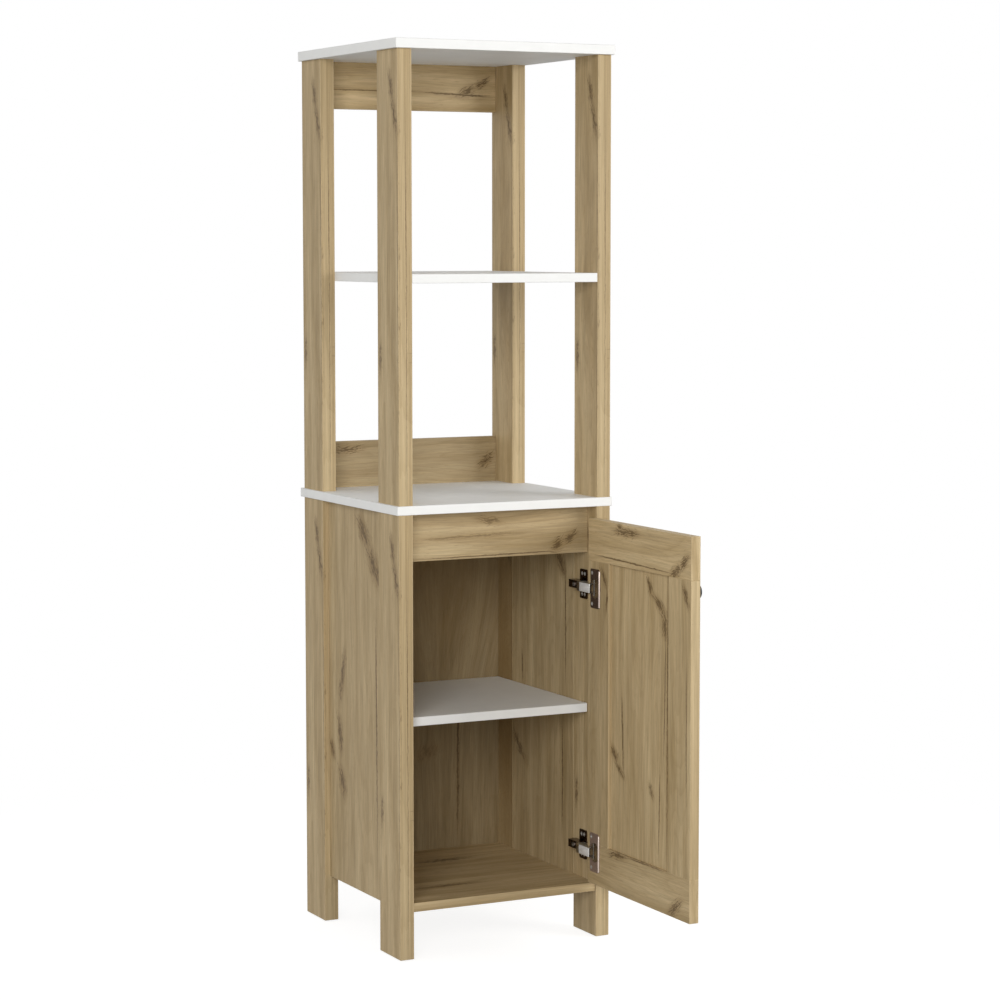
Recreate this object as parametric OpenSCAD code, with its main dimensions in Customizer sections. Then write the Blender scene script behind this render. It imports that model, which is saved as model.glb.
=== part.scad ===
// Bathroom cabinet: a doored cupboard under a white counter, and an open bay with a shelf above it.
// Millimetres, Z up, front towards -Y, right towards +X, floor at z = 0.
// The door is drawn open by a quarter turn. The origin is on the floor under the middle of
// everything, midway between the free edge of the open door and the rearmost edge of the cabinet.

/* [Cabinet] */
// Width over the legs
cabinet_w = 390; // [360:1:600]
// Depth over the legs
cabinet_d = 390; // [360:1:600]
// Height of the underside of the counter above the floor
counter_z = 735; // [700:1:850]
// Length of the posts between the counter and the top
post_l = 734; // [600:1:900]
// Thickness of the wooden boards
board_t = 15; // [14:0.5:18]
// Chamfer along every edge of the boards
arris = 0.6; // [0.3:0.1:1]

/* [Legs and glides] */
// Width of a leg or post, seen from the front
leg_w = 25; // [22:1:32]
// Depth of a leg or post, seen from the side
leg_d = 80; // [75:1:100]
// Diameter of the glide under each leg
glide_dia = 16; // [12:1:20]
// Thickness of a glide
glide_t = 2; // [1:0.5:4]
// Distance of each glide's middle from the leg's front face
glide_in = 27; // [15:1:50]
// Diameter of the nail on a glide
nail_dia = 2.2; // [1.8:0.1:3]
// Length of the nail on a glide
nail_l = 14; // [10:1:20]

/* [Cupboard] */
// Distance of the side panels inside the legs' outer faces
side_recess = 10; // [0:1:10]
// Distance of the back panel inside the legs' rear faces
back_recess = 10; // [0:1:14]
// Height of the undersides of the side, back and bottom panels
bottom_z = 80; // [60:1:140]
// Distance of the bottom panel's front edge behind the legs' front faces
bottom_recess = 2; // [0:0.5:10]
// Height of the front rail
front_rail_h = 80; // [70:1:100]
// Distance of the front rail behind the legs' front faces
front_rail_recess = 32; // [28:1:36]
// Height of the underside of the inner shelf above the floor
inner_shelf_z = 383; // [300:1:520]
// Distance of the inner shelf's front edge behind the legs' front faces
inner_shelf_recess = 30; // [24:1:60]
// Gap between the inner shelf and the walls beside and behind it
inner_shelf_gap = 1; // [0.5:0.25:2]

/* [Counter and top] */
// Thickness of the counter
counter_t = 15; // [15:0.5:20]
// Overhang of the counter past the legs at each side
counter_side = 3; // [0:0.5:10]
// Overhang of the counter past the legs' front faces
counter_front = 1; // [0:0.5:10]
// Overhang of the counter past the legs' rear faces
counter_back = 10; // [5:1:20]
// Thickness of the top
top_t = 16; // [15:0.5:20]
// Overhang of the top all round
top_out = 5; // [0:1:10]

/* [Open bay] */
// Height of the underside of the open shelf above the counter
open_shelf_up = 359.5; // [200:0.5:500]
// Height of the two rails across the back of the bay
back_rail_h = 80; // [70:1:110]

/* [Door] */
// Thickness of the door frame
door_t = 17; // [16:0.5:19]
// Gap between the top of the door and the counter
door_top_gap = 19; // [15:1:60]
// Gap beside the door at each side
door_gap = 2; // [1.5:0.5:4]
// Gap between the door and the bottom panel
door_bottom_gap = 3; // [1.5:0.5:6]
// Width of the door's stiles and rails
door_frame_w = 70; // [65:1:85]
// Thickness of the panel in the door
door_panel_t = 7; // [5:0.5:8]
// Depth that the panel reaches into the frame all round
door_tongue = 8; // [5:0.5:9]
// Clearance of the panel in its groove, on each face
groove_fit = 0.1; // [0.05:0.05:0.2]
// Distance of the knob's middle from the free edge of the door
knob_in = 35.5; // [30:0.5:40]
// Distance of the knob's middle below the top of the door
knob_down = 92; // [80:1:200]

/* [Knob] */
// Diameter of the knob's head
knob_dia = 24; // [20:1:30]
// Distance that the knob stands out of the door
knob_out = 18; // [17:1:28]
// Thickness of the knob's head
knob_head_t = 7; // [6:0.5:8]
// Radius of the knob head's rim
knob_rim_r = 2; // [1:0.5:2.5]
// Diameter of the knob's neck
knob_neck_dia = 10; // [8:0.5:13]
// Radius of the sweep from the neck to the head
knob_sweep_r = 4; // [3:0.5:4.5]
// Diameter of the knob's foot
knob_foot_dia = 14; // [14:0.5:18]
// Thickness of the knob's foot
knob_foot_t = 1.5; // [1:0.5:3]
// Diameter of the threaded stud that holds the knob
stud_dia = 4; // [3:0.5:5]
// Depth of the stud in the door
stud_in_door = 12; // [8:0.5:13]
// Depth of the stud in the knob
stud_in_knob = 10; // [8:0.5:12]

/* [Dowels] */
// Diameter of the wooden dowels
dowel_dia = 8; // [6:0.5:8]
// Depth of a dowel in the side of a leg or post
dowel_in_leg = 12; // [10:0.5:14]
// Depth of a dowel in the end of a board
dowel_in_board = 20; // [15:0.5:24]
// Depth of the side panels' dowels, each way
dowel_in_edge = 15; // [12:0.5:20]
// Depth of the counter's dowels in the legs and in the posts
dowel_in_end = 25; // [15:0.5:28]
// Depth of the top's dowels in the top
dowel_in_top = 10; // [8:0.5:11]
// Depth of the door's dowels, each way
dowel_in_door = 20; // [15:0.5:24]
// Distance of the door's outer dowels from its side edges
door_dowel_inset = 25; // [23:0.5:27]
// Distance of the outermost dowels from the edge of what they join
dowel_inset = 20; // [16:1:22]
// Height of the side and back panels' lowest dowels above their lower edge
low_dowel_up = 60; // [45:1:80]
// Distance of the side and back panels' highest dowels below the counter
high_dowel_down = 75; // [60:1:100]
// Wood between the bottom panel's rear dowel and its rear edge
bottom_dowel_wood = 11; // [9:0.5:12]
// Chamfer on the ends of a dowel
dowel_chamfer = 0.8; // [0.4:0.1:1.2]
// Empty room at the end of each dowel and screw hole
end_room = 0.5; // [0.3:0.1:1]
// Clearance round dowels, studs, bolts and pegs in their holes
fit = 0.05; // [0.03:0.01:0.08]

/* [Cam fasteners] */
// Diameter of the pocket for a cam lock
cam_dia = 15; // [13:0.5:16]
// Depth of the pocket for a cam lock
cam_deep = 12; // [11.5:0.5:12.5]
// Clearance of a cam lock in its pocket, round it and below its face
cam_fit = 0.1; // [0.05:0.05:0.2]
// Distance of a cam lock's middle from the board's end
cam_in = 24; // [22:0.5:30]
// Distance of the cam bolts from the inner edge of the leg
cam_inset = 25; // [20:1:28]
// Distance of the bottom panel's rear cam bolts from the inner edge of the leg
bottom_cam_inset = 20; // [18:0.5:22]
// Height of the back panel's lower cams above its lower edge
low_cam_up = 120; // [100:1:160]
// Distance of the back panel's upper cams below the counter
high_cam_down = 135; // [115:1:170]
// Diameter of a cam bolt's thread
bolt_dia = 6; // [5:0.5:6.5]
// Depth of a cam bolt's thread in a leg or post
bolt_in_leg = 11; // [9:0.5:13]
// Diameter of a cam bolt's collar
collar_dia = 7.4; // [6.8:0.1:7.6]
// Thickness of a cam bolt's collar
collar_t = 3; // [2:0.5:4]
// Diameter of a cam bolt's neck
bolt_neck_dia = 3.4; // [2.5:0.1:4]
// Width of the cross slot in a cam lock
cam_slot_w = 1.4; // [1:0.1:1.8]
// Length of the cross slot in a cam lock
cam_slot_l = 9; // [6:0.5:11]
// Depth of the cross slot in a cam lock
cam_slot_deep = 2; // [1:0.25:2.5]

/* [Shelf pegs] */
// Diameter of a shelf peg
peg_dia = 5; // [4:0.5:6]
// Depth of a shelf peg in the leg
peg_in_leg = 10; // [8:0.5:14]
// Distance of the shelf pegs from the inner edge of the leg
peg_inset = 25; // [18:1:30]
// Length of the flat tab that carries the shelf
tab_l = 9; // [6:0.5:14]
// Width of the flat tab
tab_w = 10; // [8:0.5:14]
// Thickness of the flat tab
tab_t = 2; // [1.5:0.25:2.5]

/* [Hinges] */
// Distance of the upper hinge's middle below the top of the door
hinge_down = 116; // [100:1:150]
// Distance of the lower hinge's middle above the bottom of the door
hinge_up = 55; // [50:1:58]
// Diameter of the hole for a hinge cup
cup_dia = 35; // [34:0.5:36]
// Depth of the hole for a hinge cup
cup_deep = 11.5; // [11:0.25:12.5]
// Distance of a cup's middle from the hinge edge of the door
cup_in = 24; // [23:0.5:25]
// Wall of a hinge cup
cup_wall = 0.8; // [0.6:0.1:1]
// Floor of a hinge cup
cup_floor = 0.8; // [0.5:0.1:0.9]
// Clearance of a cup in its hole
cup_fit = 0.1; // [0.05:0.05:0.2]
// Diameter of the rim that covers the cup's hole
rim_dia = 36.6; // [36.4:0.1:37.4]
// Thickness of that rim
rim_t = 0.8; // [0.5:0.1:1]
// Height of a cup's flange
flange_h = 66; // [64:1:72]
// Width of a cup's flange
flange_w = 29; // [26:0.5:31]
// Thickness of a cup's flange
flange_t = 1.2; // [0.8:0.1:1.4]
// Corner radius of the flange and of the mounting plate
corner_r = 3; // [2:0.5:4]
// Distance of the cup screws above and below the cup's middle
cup_screw_up = 26; // [25:0.5:28]
// Distance of the cup screws from the door's hinge edge
cup_screw_in = 15; // [14:0.5:18]
// Distance of the hinge pin from the door's hinge edge
pin_in = 13; // [12.5:0.25:13.5]
// Depth of the hinge pin below the door's inner face
pin_deep = 4; // [3.75:0.25:4.5]
// Diameter of the hinge pin
pin_dia = 3; // [2.5:0.1:3.4]
// Clearance of the link's eyes on the pin
pin_fit = 0.08; // [0.05:0.01:0.1]
// Width of the link that laps over the arm
link_w = 16; // [15:0.25:16.5]
// Gap between the link's cheeks and the arm's
link_gap = 0.3; // [0.2:0.05:0.5]
// Thickness of the arm's and the link's cheeks
cheek_t = 1.2; // [0.8:0.1:1.5]
// Thickness of the arm's and the link's webs
web_t = 1.4; // [1:0.1:1.8]
// Distance of the arm's web face from the leg
arm_h = 16.5; // [16:0.25:17.5]
// Length of the arm
arm_l = 49; // [45:0.5:60]
// Gap between the closed door's inner face and the front end of the arm
arm_gap = 2; // [1.75:0.25:3]
// Distance of the mounting plate behind the legs' front faces
plate_back = 31; // [29:0.5:34]
// Width of the mounting plate, front to back
plate_w = 24.5; // [22:0.5:28]
// Height of the mounting plate
plate_h = 50; // [48:1:60]
// Thickness of the mounting plate
plate_t = 1.7; // [1.5:0.1:2]
// Height of the pad that carries the arm
pad_t = 4.3; // [3:0.1:6]
// Gap between the pad and the arm's cheeks
pad_gap = 0.3; // [0.1:0.1:0.6]
// Height of the plate screws above and below the plate's middle
plate_screw_up = 17.5; // [16:0.5:19]
// Distance between the two rows of plate screws
plate_screw_gap = 9; // [8:0.5:12]
// Distance of the fixing screw from the plate's rear edge
fixing_in = 6.5; // [5:0.5:8]
// Distance of the adjusting screw from the plate's front edge
adjust_in = 5.5; // [4:0.5:7]
// Diameter of the arm's machine screws
machine_dia = 4; // [3:0.5:4.5]
// Diameter of the fixing screw's head
machine_head_dia = 7; // [6:0.5:8]
// Height of the fixing screw's head
machine_head_t = 1.8; // [1:0.1:2]
// Reach of the link past the pin, towards the floor of the cup
link_nose = 6; // [5:0.25:6.2]
// Length of the link from the pin to its rear end
link_l = 39; // [34:0.5:42]
// Distance of the link's web face from the pin
link_h = 12; // [11.5:0.25:12.5]
// Height of the link's cheeks beside the pin
link_cheek_h = 5; // [4:0.25:5.5]
// Height of the link's cheeks where they lap over the arm
link_lap_h = 16; // [12:0.25:17]
// Length of the stretch where they lap over the arm
link_lap_l = 23; // [18:0.5:24]
// Diameter of the link's eyes
eye_dia = 4.8; // [4.6:0.1:5.4]

/* [Wood screws] */
// Diameter of the wood screws
screw_dia = 3.5; // [3:0.1:3.8]
// Length of the wood screws, with their heads
screw_l = 14; // [10:0.5:15]
// Diameter of the wood screws' heads
screw_head_dia = 6.4; // [5.5:0.1:7]
// Height of the countersunk heads
screw_head_t = 1.5; // [1:0.1:1.6]
// Length of the wood screws' tapered tips
screw_tip_l = 3; // [2:0.5:5]
// Width of the cross in a screw's head
cross_w = 0.8; // [0.5:0.1:1]
// Length of the cross in a screw's head
cross_l = 3.4; // [2.5:0.1:4]
// Depth of the cross in a screw's head
cross_deep = 0.8; // [0.4:0.1:1]

/* [Hidden] */
$fn = 48;

// Colours
oak = "#B8A37C";
white = "#F5F5F3";
beech = "#D9BE8F";
zinc = "#A9A9A6";
nickel = "#C9C9C6";
bronze = "#4A4038";
matt_black = "#1D1D1D";
grey_plastic = "#6E6C68";

// Angle at which the door stands open in this drawing
door_open = 90;

// Planes of the cabinet
inner_x = cabinet_w / 2 - leg_w;
door_half_w = inner_x - door_gap;
door_reach = inner_x + door_half_w;
mid_y = (door_reach - max(counter_back, top_out)) / 2;
front_y = mid_y - cabinet_d / 2;
back_y = mid_y + cabinet_d / 2;
leg_rear_y = front_y + leg_d;
leg_fore_y = back_y - leg_d;
post_z = counter_z + counter_t;
top_z = post_z + post_l;

// Boards of the cupboard
side_out_x = cabinet_w / 2 - side_recess;
side_in_x = side_out_x - board_t;
side_mid_x = side_out_x - board_t / 2;
back_out_y = back_y - back_recess;
back_in_y = back_out_y - board_t;
back_mid_y = back_out_y - board_t / 2;
bottom_front_y = front_y + bottom_recess;
bottom_mid_z = bottom_z + board_t / 2;
rail_y = front_y + front_rail_recess;
rail_mid_y = rail_y + board_t / 2;
rail_z = counter_z - front_rail_h;
shelf_half_w = min(inner_x, side_in_x) - inner_shelf_gap;

// Boards of the open bay
open_shelf_z = post_z + open_shelf_up;
open_shelf_mid_z = open_shelf_z + board_t / 2;
back_rail_y = back_y - board_t;
back_rail_mid_y = back_y - board_t / 2;
upper_rail_z = top_z - back_rail_h;

// Dowels, and the places of the joints as [y, z] on the face where a board ends at a leg
dowel_r = dowel_dia / 2;
edge_zs = [bottom_z + low_dowel_up, (bottom_z + counter_z) / 2, counter_z - high_dowel_down];
rail_dowel_zs = [rail_z + dowel_inset, counter_z - dowel_inset];
end_ys = [front_y + dowel_inset, leg_rear_y - dowel_inset, leg_fore_y + dowel_inset, back_y - dowel_inset];
BASE_DOWELS = concat(
    [for (y = [front_y + dowel_inset, back_in_y - dowel_r - bottom_dowel_wood]) [y, bottom_mid_z]],
    [for (z = rail_dowel_zs) [rail_mid_y, z]],
    [for (z = edge_zs) [back_mid_y, z]]
);
BAY_DOWELS = concat(
    [for (y = [front_y + dowel_inset, back_y - dowel_inset]) [y, open_shelf_mid_z]],
    [
        for (z = [post_z, upper_rail_z], up = [dowel_inset, back_rail_h - dowel_inset])
            [back_rail_mid_y, z + up]
    ]
);

// Cam joints: pockets that open downwards, and pockets that open to the rear, as [y, z]
cam_ys = [leg_rear_y - cam_inset, leg_fore_y + cam_inset];
BASE_CAMS_DOWN = [for (y = [cam_ys[0], leg_fore_y + bottom_cam_inset]) [y, bottom_z]];
BASE_CAMS_REAR = concat(
    [[rail_y + board_t, rail_z + front_rail_h / 2]],
    [for (z = [bottom_z + low_cam_up, counter_z - high_cam_down]) [back_out_y, z]]
);
BAY_CAMS_DOWN = [for (y = cam_ys) [y, open_shelf_z]];
BAY_CAMS_REAR = [for (z = [post_z, upper_rail_z]) [back_y, z + back_rail_h / 2]];

// Door, drawn closed and then turned
door_in_y = front_y + door_t;
door_mid_y = front_y + door_t / 2;
door_z = bottom_z + board_t + door_bottom_gap;
door_top_z = counter_z - door_top_gap;
opening_half_w = door_half_w - door_frame_w;
opening_z = door_z + door_frame_w;
opening_top_z = door_top_z - door_frame_w;
panel_y = door_mid_y - door_panel_t / 2;
groove_room = door_tongue + end_room;
knob_x = -door_half_w + knob_in;
knob_z = door_top_z - knob_down;
knob_y = front_y;

// Hinges
hinge_zs = [door_z + hinge_up, door_top_z - hinge_down];
upper = 1;
lower = 0;
cup_bore_r = cup_dia / 2;
cup_r = cup_bore_r - cup_fit;
cup_h = cup_deep - 2 * cup_fit;
cup_inner_r = cup_r - cup_wall;
pin_r = pin_dia / 2;
plate_screw_ys = [for (s = [-1, 1]) plate_back + plate_w / 2 + s * plate_screw_gap / 2];
arm_y = door_t + arm_gap;
fixing_y = plate_back + plate_w - fixing_in;
adjust_y = plate_back + adjust_in;
arm_w = link_w - 2 * cheek_t - 2 * link_gap;
pad_w = arm_w - 2 * cheek_t - 2 * pad_gap;
pin_from_hinge = [inner_x - (door_half_w - pin_in), front_y - (door_in_y - pin_deep)];
link_x = inner_x - cos(door_open) * pin_from_hinge.x + sin(door_open) * pin_from_hinge.y;
link_y = front_y - sin(door_open) * pin_from_hinge.x - cos(door_open) * pin_from_hinge.y;

// Dowels of the door's frame, as [x, z]: none where a hinge cup or its screw would meet it
dowel_wood = 2;
function hole_gap(x, z, hole_in, hole_z) =
    norm([x - (door_half_w - hole_in), max(0, abs(z - hole_z) - dowel_in_door)]) - dowel_r;
cup_screw_zs = [for (z = hinge_zs, s = [-1, 1]) z + s * cup_screw_up];
function clear_of_hinges(x, z) =
    min([for (up = hinge_zs) hole_gap(x, z, cup_in, up)]) > cup_bore_r + dowel_wood
    && min([for (up = cup_screw_zs) hole_gap(x, z, cup_screw_in, up)]) > screw_dia / 2 + dowel_wood;
door_dowel_xs = [opening_half_w + groove_room + dowel_r + dowel_wood, door_half_w - door_dowel_inset];
DOOR_DOWELS = [
    for (z = [opening_z, opening_top_z], x = door_dowel_xs, s = [-1, 1])
        if (clear_of_hinges(s * x, z)) [s * x, z]
];

// Rectangle with chamfered corners
module soft_rect(w, h) {
    polygon([
        [arris, 0], [w - arris, 0], [w, arris], [w, h - arris],
        [w - arris, h], [arris, h], [0, h - arris], [0, arris]
    ]);
}

// Board between two corners, with its edges chamfered
module board(low, high) {
    size = high - low;
    translate(low)
        intersection() {
            linear_extrude(size.z) soft_rect(size.x, size.y);
            translate([0, size.y, 0]) rotate([90, 0, 0]) linear_extrude(size.y) soft_rect(size.x, size.z);
            rotate([90, 0, 90]) linear_extrude(size.x) soft_rect(size.y, size.z);
        }
}

// Plain block between two corners
module block(low, high) {
    translate(low) cube(high - low);
}

// Rectangle with round corners, from its lower left corner
module round_rect(w, h, r) {
    translate([r, 0]) square([w - 2 * r, h]);
    translate([0, r]) square([w, h - 2 * r]);
    for (x = [r, w - r], y = [r, h - r]) translate([x, y]) circle(r);
}

// The same thing on the right and on the left
module both_sides() {
    children();
    mirror([1, 0, 0]) children();
}

// Round bar along Z with chamfered ends
module chamfered_bar(r, l, c) {
    rotate_extrude() polygon([[0, 0], [r - c, 0], [r, c], [r, l - c], [r - c, l], [0, l]]);
}

// What lies along +X instead of +Z, and along +Y instead of +Z
module along_x() {
    rotate([0, 90, 0]) children();
}

module along_y() {
    rotate([-90, 0, 0]) children();
}

// Holes for the dowels between boards' ends and legs or posts
module end_holes(places) {
    both_sides()
        for (p = places)
            translate([inner_x - dowel_in_board - end_room, p.x, p.y])
                along_x() cylinder(r = dowel_r + fit, h = dowel_in_board + dowel_in_leg + 2 * end_room);
}

// Hole of one cam joint along +X: wide in the board, narrow in the leg
module cam_bolt_hole() {
    translate([inner_x - cam_in, 0, 0]) along_x() cylinder(d = dowel_dia + 2 * fit, h = cam_in);
    translate([inner_x, 0, 0]) along_x() cylinder(d = bolt_dia + 2 * fit, h = bolt_in_leg + end_room);
}

module cam_bolt_holes(downs, rears) {
    both_sides() {
        for (p = downs) translate([0, p.x, p.y + board_t / 2]) cam_bolt_hole();
        for (p = rears) translate([0, p.x - board_t / 2, p.y]) cam_bolt_hole();
    }
}

// What stands in each cam pocket, with +Z going into the board
module at_cams(downs, rears) {
    both_sides() {
        for (p = downs) translate([inner_x - cam_in, p.x, p.y]) children();
        for (p = rears) translate([inner_x - cam_in, p.x, p.y]) rotate([90, 0, 0]) children();
    }
}

module cam_pockets(downs, rears) {
    at_cams(downs, rears) translate([0, 0, -1]) cylinder(d = cam_dia, h = cam_deep + 1);
}

// Holes for the dowels between the side panels and the legs
module side_holes() {
    both_sides()
        for (y = [leg_rear_y, leg_fore_y], z = edge_zs)
            translate([side_mid_x, y - dowel_in_edge - end_room, z])
                along_y() cylinder(r = dowel_r + fit, h = 2 * (dowel_in_edge + end_room));
}

// Upright holes in line through the legs, the counter and the posts
module counter_holes() {
    both_sides()
        for (y = end_ys)
            translate([inner_x + leg_w / 2, y, counter_z - dowel_in_end - end_room])
                cylinder(r = dowel_r + fit, h = counter_t + 2 * (dowel_in_end + end_room));
}

// Upright holes through the posts' upper ends into the top
module top_holes() {
    both_sides()
        for (y = end_ys)
            translate([inner_x + leg_w / 2, y, top_z - dowel_in_board - end_room])
                cylinder(r = dowel_r + fit, h = dowel_in_board + dowel_in_top + 2 * end_room);
}

module at_shelf_pegs() {
    both_sides()
        for (y = [leg_rear_y - peg_inset, leg_fore_y + peg_inset])
            translate([inner_x, y, inner_shelf_z]) children();
}

module at_glides() {
    both_sides()
        for (y = [front_y, leg_fore_y]) translate([inner_x + leg_w / 2, y + glide_in, 0]) children();
}

// Places on the right leg's inner face: +X goes to the rear, +Z into the cabinet
module on_leg(x, y, z) {
    translate([x, y, z]) rotate([-90, 0, 90]) children();
}

module at_plate_screws() {
    for (z = hinge_zs, y = plate_screw_ys, s = [-1, 1])
        on_leg(inner_x, front_y, z) translate([y, s * plate_screw_up, plate_t]) children();
}

// Leg or post: side is -1 or 1, y is its front face
module upright(side, y, low_z, high_z) {
    x = side > 0 ? inner_x : -inner_x - leg_w;
    board([x, y, low_z], [x + leg_w, y + leg_d, high_z]);
}

module leg(side, y) {
    color(oak)
        difference() {
            upright(side, y, glide_t, counter_z);
            end_holes(BASE_DOWELS);
            cam_bolt_holes(BASE_CAMS_DOWN, BASE_CAMS_REAR);
            side_holes();
            counter_holes();
            at_shelf_pegs() translate([0, 0, -peg_dia / 2])
                along_x() cylinder(d = peg_dia + 2 * fit, h = peg_in_leg + end_room);
            at_glides() cylinder(d = nail_dia + 2 * fit, h = glide_t + nail_l + end_room);
            at_plate_screws() screw_hole();
        }
}

module post(side, y) {
    color(oak)
        difference() {
            upright(side, y, post_z, top_z);
            end_holes(BAY_DOWELS);
            cam_bolt_holes(BAY_CAMS_DOWN, BAY_CAMS_REAR);
            counter_holes();
            top_holes();
        }
}

module glides() {
    color(grey_plastic)
        at_glides() {
            cylinder(d = glide_dia, h = glide_t);
            cylinder(d = nail_dia, h = glide_t + nail_l);
        }
}

module side_panel(side) {
    x = side > 0 ? side_in_x : -side_out_x;
    color(oak)
        difference() {
            board([x, leg_rear_y, bottom_z], [x + board_t, leg_fore_y, counter_z]);
            side_holes();
        }
}

// Board between the uprights, with its dowel, bolt and cam holes
module cross_board(low, high, dowels, downs, rears) {
    difference() {
        board(low, high);
        end_holes(dowels);
        cam_bolt_holes(downs, rears);
        cam_pockets(downs, rears);
    }
}

module back_panel() {
    color(oak)
        cross_board(
            [-inner_x, back_in_y, bottom_z], [inner_x, back_out_y, counter_z],
            BASE_DOWELS, [], BASE_CAMS_REAR
        );
}

module bottom_panel() {
    color(oak)
        cross_board(
            [-inner_x, bottom_front_y, bottom_z], [inner_x, back_in_y, bottom_z + board_t],
            BASE_DOWELS, BASE_CAMS_DOWN, []
        );
}

module front_rail() {
    color(oak)
        cross_board(
            [-inner_x, rail_y, rail_z], [inner_x, rail_y + board_t, counter_z],
            BASE_DOWELS, [], BASE_CAMS_REAR
        );
}

module inner_shelf() {
    color(white)
        board(
            [-shelf_half_w, front_y + inner_shelf_recess, inner_shelf_z],
            [shelf_half_w, back_in_y - inner_shelf_gap, inner_shelf_z + board_t]
        );
}

module shelf_pegs() {
    color(nickel)
        at_shelf_pegs() {
            translate([-tab_t, 0, -peg_dia / 2]) along_x() cylinder(d = peg_dia, h = tab_t + peg_in_leg);
            block([-tab_l, -tab_w / 2, -tab_t], [0, tab_w / 2, 0]);
        }
}

module counter_top() {
    half_w = cabinet_w / 2 + counter_side;
    color(white)
        difference() {
            board([-half_w, front_y - counter_front, counter_z], [half_w, back_y + counter_back, post_z]);
            counter_holes();
        }
}

module open_shelf() {
    color(white)
        cross_board(
            [-inner_x, front_y, open_shelf_z], [inner_x, back_y, open_shelf_z + board_t],
            BAY_DOWELS, BAY_CAMS_DOWN, []
        );
}

module back_rail(z) {
    color(oak)
        cross_board(
            [-inner_x, back_rail_y, z], [inner_x, back_y, z + back_rail_h],
            BAY_DOWELS, [], BAY_CAMS_REAR
        );
}

module top_panel() {
    half_w = cabinet_w / 2 + top_out;
    color(white)
        difference() {
            board([-half_w, front_y - top_out, top_z], [half_w, back_y + top_out, top_z + top_t]);
            top_holes();
        }
}

module frame_dowels() {
    color(beech)
        both_sides() {
            for (p = concat(BASE_DOWELS, BAY_DOWELS))
                translate([inner_x - dowel_in_board, p.x, p.y])
                    along_x() chamfered_bar(dowel_r, dowel_in_board + dowel_in_leg, dowel_chamfer);
            for (y = [leg_rear_y, leg_fore_y], z = edge_zs)
                translate([side_mid_x, y - dowel_in_edge, z])
                    along_y() chamfered_bar(dowel_r, 2 * dowel_in_edge, dowel_chamfer);
        }
}

module counter_dowels() {
    color(beech)
        both_sides()
            for (y = end_ys)
                translate([inner_x + leg_w / 2, y, counter_z - dowel_in_end])
                    chamfered_bar(dowel_r, counter_t + 2 * dowel_in_end, dowel_chamfer);
}

module top_dowels() {
    color(beech)
        both_sides()
            for (y = end_ys)
                translate([inner_x + leg_w / 2, y, top_z - dowel_in_board])
                    chamfered_bar(dowel_r, dowel_in_board + dowel_in_top, dowel_chamfer);
}

// Cam lock, standing on the bottom of its pocket, with a radial hole for the bolt's head
module cam_lock() {
    cam_r = cam_dia / 2 - cam_fit;
    bolt_head_room = bolt_dia / 2 + 2 * cam_fit;
    difference() {
        translate([0, 0, 2 * cam_fit]) cylinder(r = cam_r, h = cam_deep - 2 * cam_fit);
        translate([-bolt_head_room, 0, board_t / 2]) along_x() cylinder(r = bolt_head_room, h = cam_dia);
        for (a = [45, 135])
            rotate([0, 0, a])
                translate([-cam_slot_l / 2, -cam_slot_w / 2, -1])
                    cube([cam_slot_l, cam_slot_w, 1 + 2 * cam_fit + cam_slot_deep]);
    }
}

module cam_locks() {
    color(zinc) {
        at_cams(BASE_CAMS_DOWN, BASE_CAMS_REAR) cam_lock();
        at_cams(BAY_CAMS_DOWN, BAY_CAMS_REAR) cam_lock();
    }
}

// Cam bolt along Z: z = 0 is the leg's face, the head reaches the middle of the cam lock
module cam_bolt() {
    r = bolt_dia / 2;
    c = r / 3;
    head_z = -cam_in - c;
    neck_r = bolt_neck_dia / 2;
    rotate_extrude()
        polygon([
            [0, head_z], [r - c, head_z], [r, head_z + c], [r, head_z + r], [neck_r, head_z + r + c],
            [neck_r, head_z + 2 * r], [r, head_z + 2 * r + c], [r, -collar_t], [collar_dia / 2, -collar_t],
            [collar_dia / 2, 0], [r, 0], [r, bolt_in_leg - c], [r - c, bolt_in_leg], [0, bolt_in_leg]
        ]);
}

module cam_bolts() {
    color(zinc)
        both_sides() {
            for (p = concat(BASE_CAMS_DOWN, BAY_CAMS_DOWN))
                translate([inner_x, p.x, p.y + board_t / 2]) along_x() cam_bolt();
            for (p = concat(BASE_CAMS_REAR, BAY_CAMS_REAR))
                translate([inner_x, p.x - board_t / 2, p.y]) along_x() cam_bolt();
        }
}

// Countersunk wood screw: z = 0 is the face of its head, the point is below
module wood_screw() {
    r = screw_dia / 2;
    difference() {
        rotate_extrude()
            polygon([
                [0, -screw_l], [r / 2, -screw_l + screw_tip_l / 3], [r, -screw_l + screw_tip_l],
                [r, -screw_head_t], [screw_head_dia / 2, 0], [0, 0]
            ]);
        for (a = [0, 90])
            rotate([0, 0, a])
                translate([-cross_l / 2, -cross_w / 2, -cross_deep])
                    cube([cross_l, cross_w, cross_deep + 1]);
    }
}

// Room for a wood screw, with its countersink
module screw_hole() {
    r = screw_dia / 2 + fit;
    translate([0, 0, -screw_l - end_room]) cylinder(r = r, h = screw_l + end_room + 1);
    translate([0, 0, -screw_head_t]) cylinder(r1 = r, r2 = screw_head_dia / 2 + fit, h = screw_head_t);
    cylinder(r = screw_head_dia / 2 + fit, h = 1);
}

// Flat plate with four screw holes, and a pad that the arm sits over
module hinge_plate(which) {
    color(bronze)
        difference() {
            on_leg(inner_x, front_y, hinge_zs[which])
                difference() {
                    union() {
                        translate([plate_back, -plate_h / 2, 0])
                            linear_extrude(plate_t) round_rect(plate_w, plate_h, corner_r);
                        block(
                            [plate_back, -pad_w / 2, 0],
                            [plate_back + plate_w, pad_w / 2, plate_t + pad_t]
                        );
                    }
                    translate([fixing_y, 0, -1])
                        cylinder(d = machine_dia + 2 * fit, h = plate_t + pad_t + 2);
                }
            at_plate_screws() screw_hole();
        }
}

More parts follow.
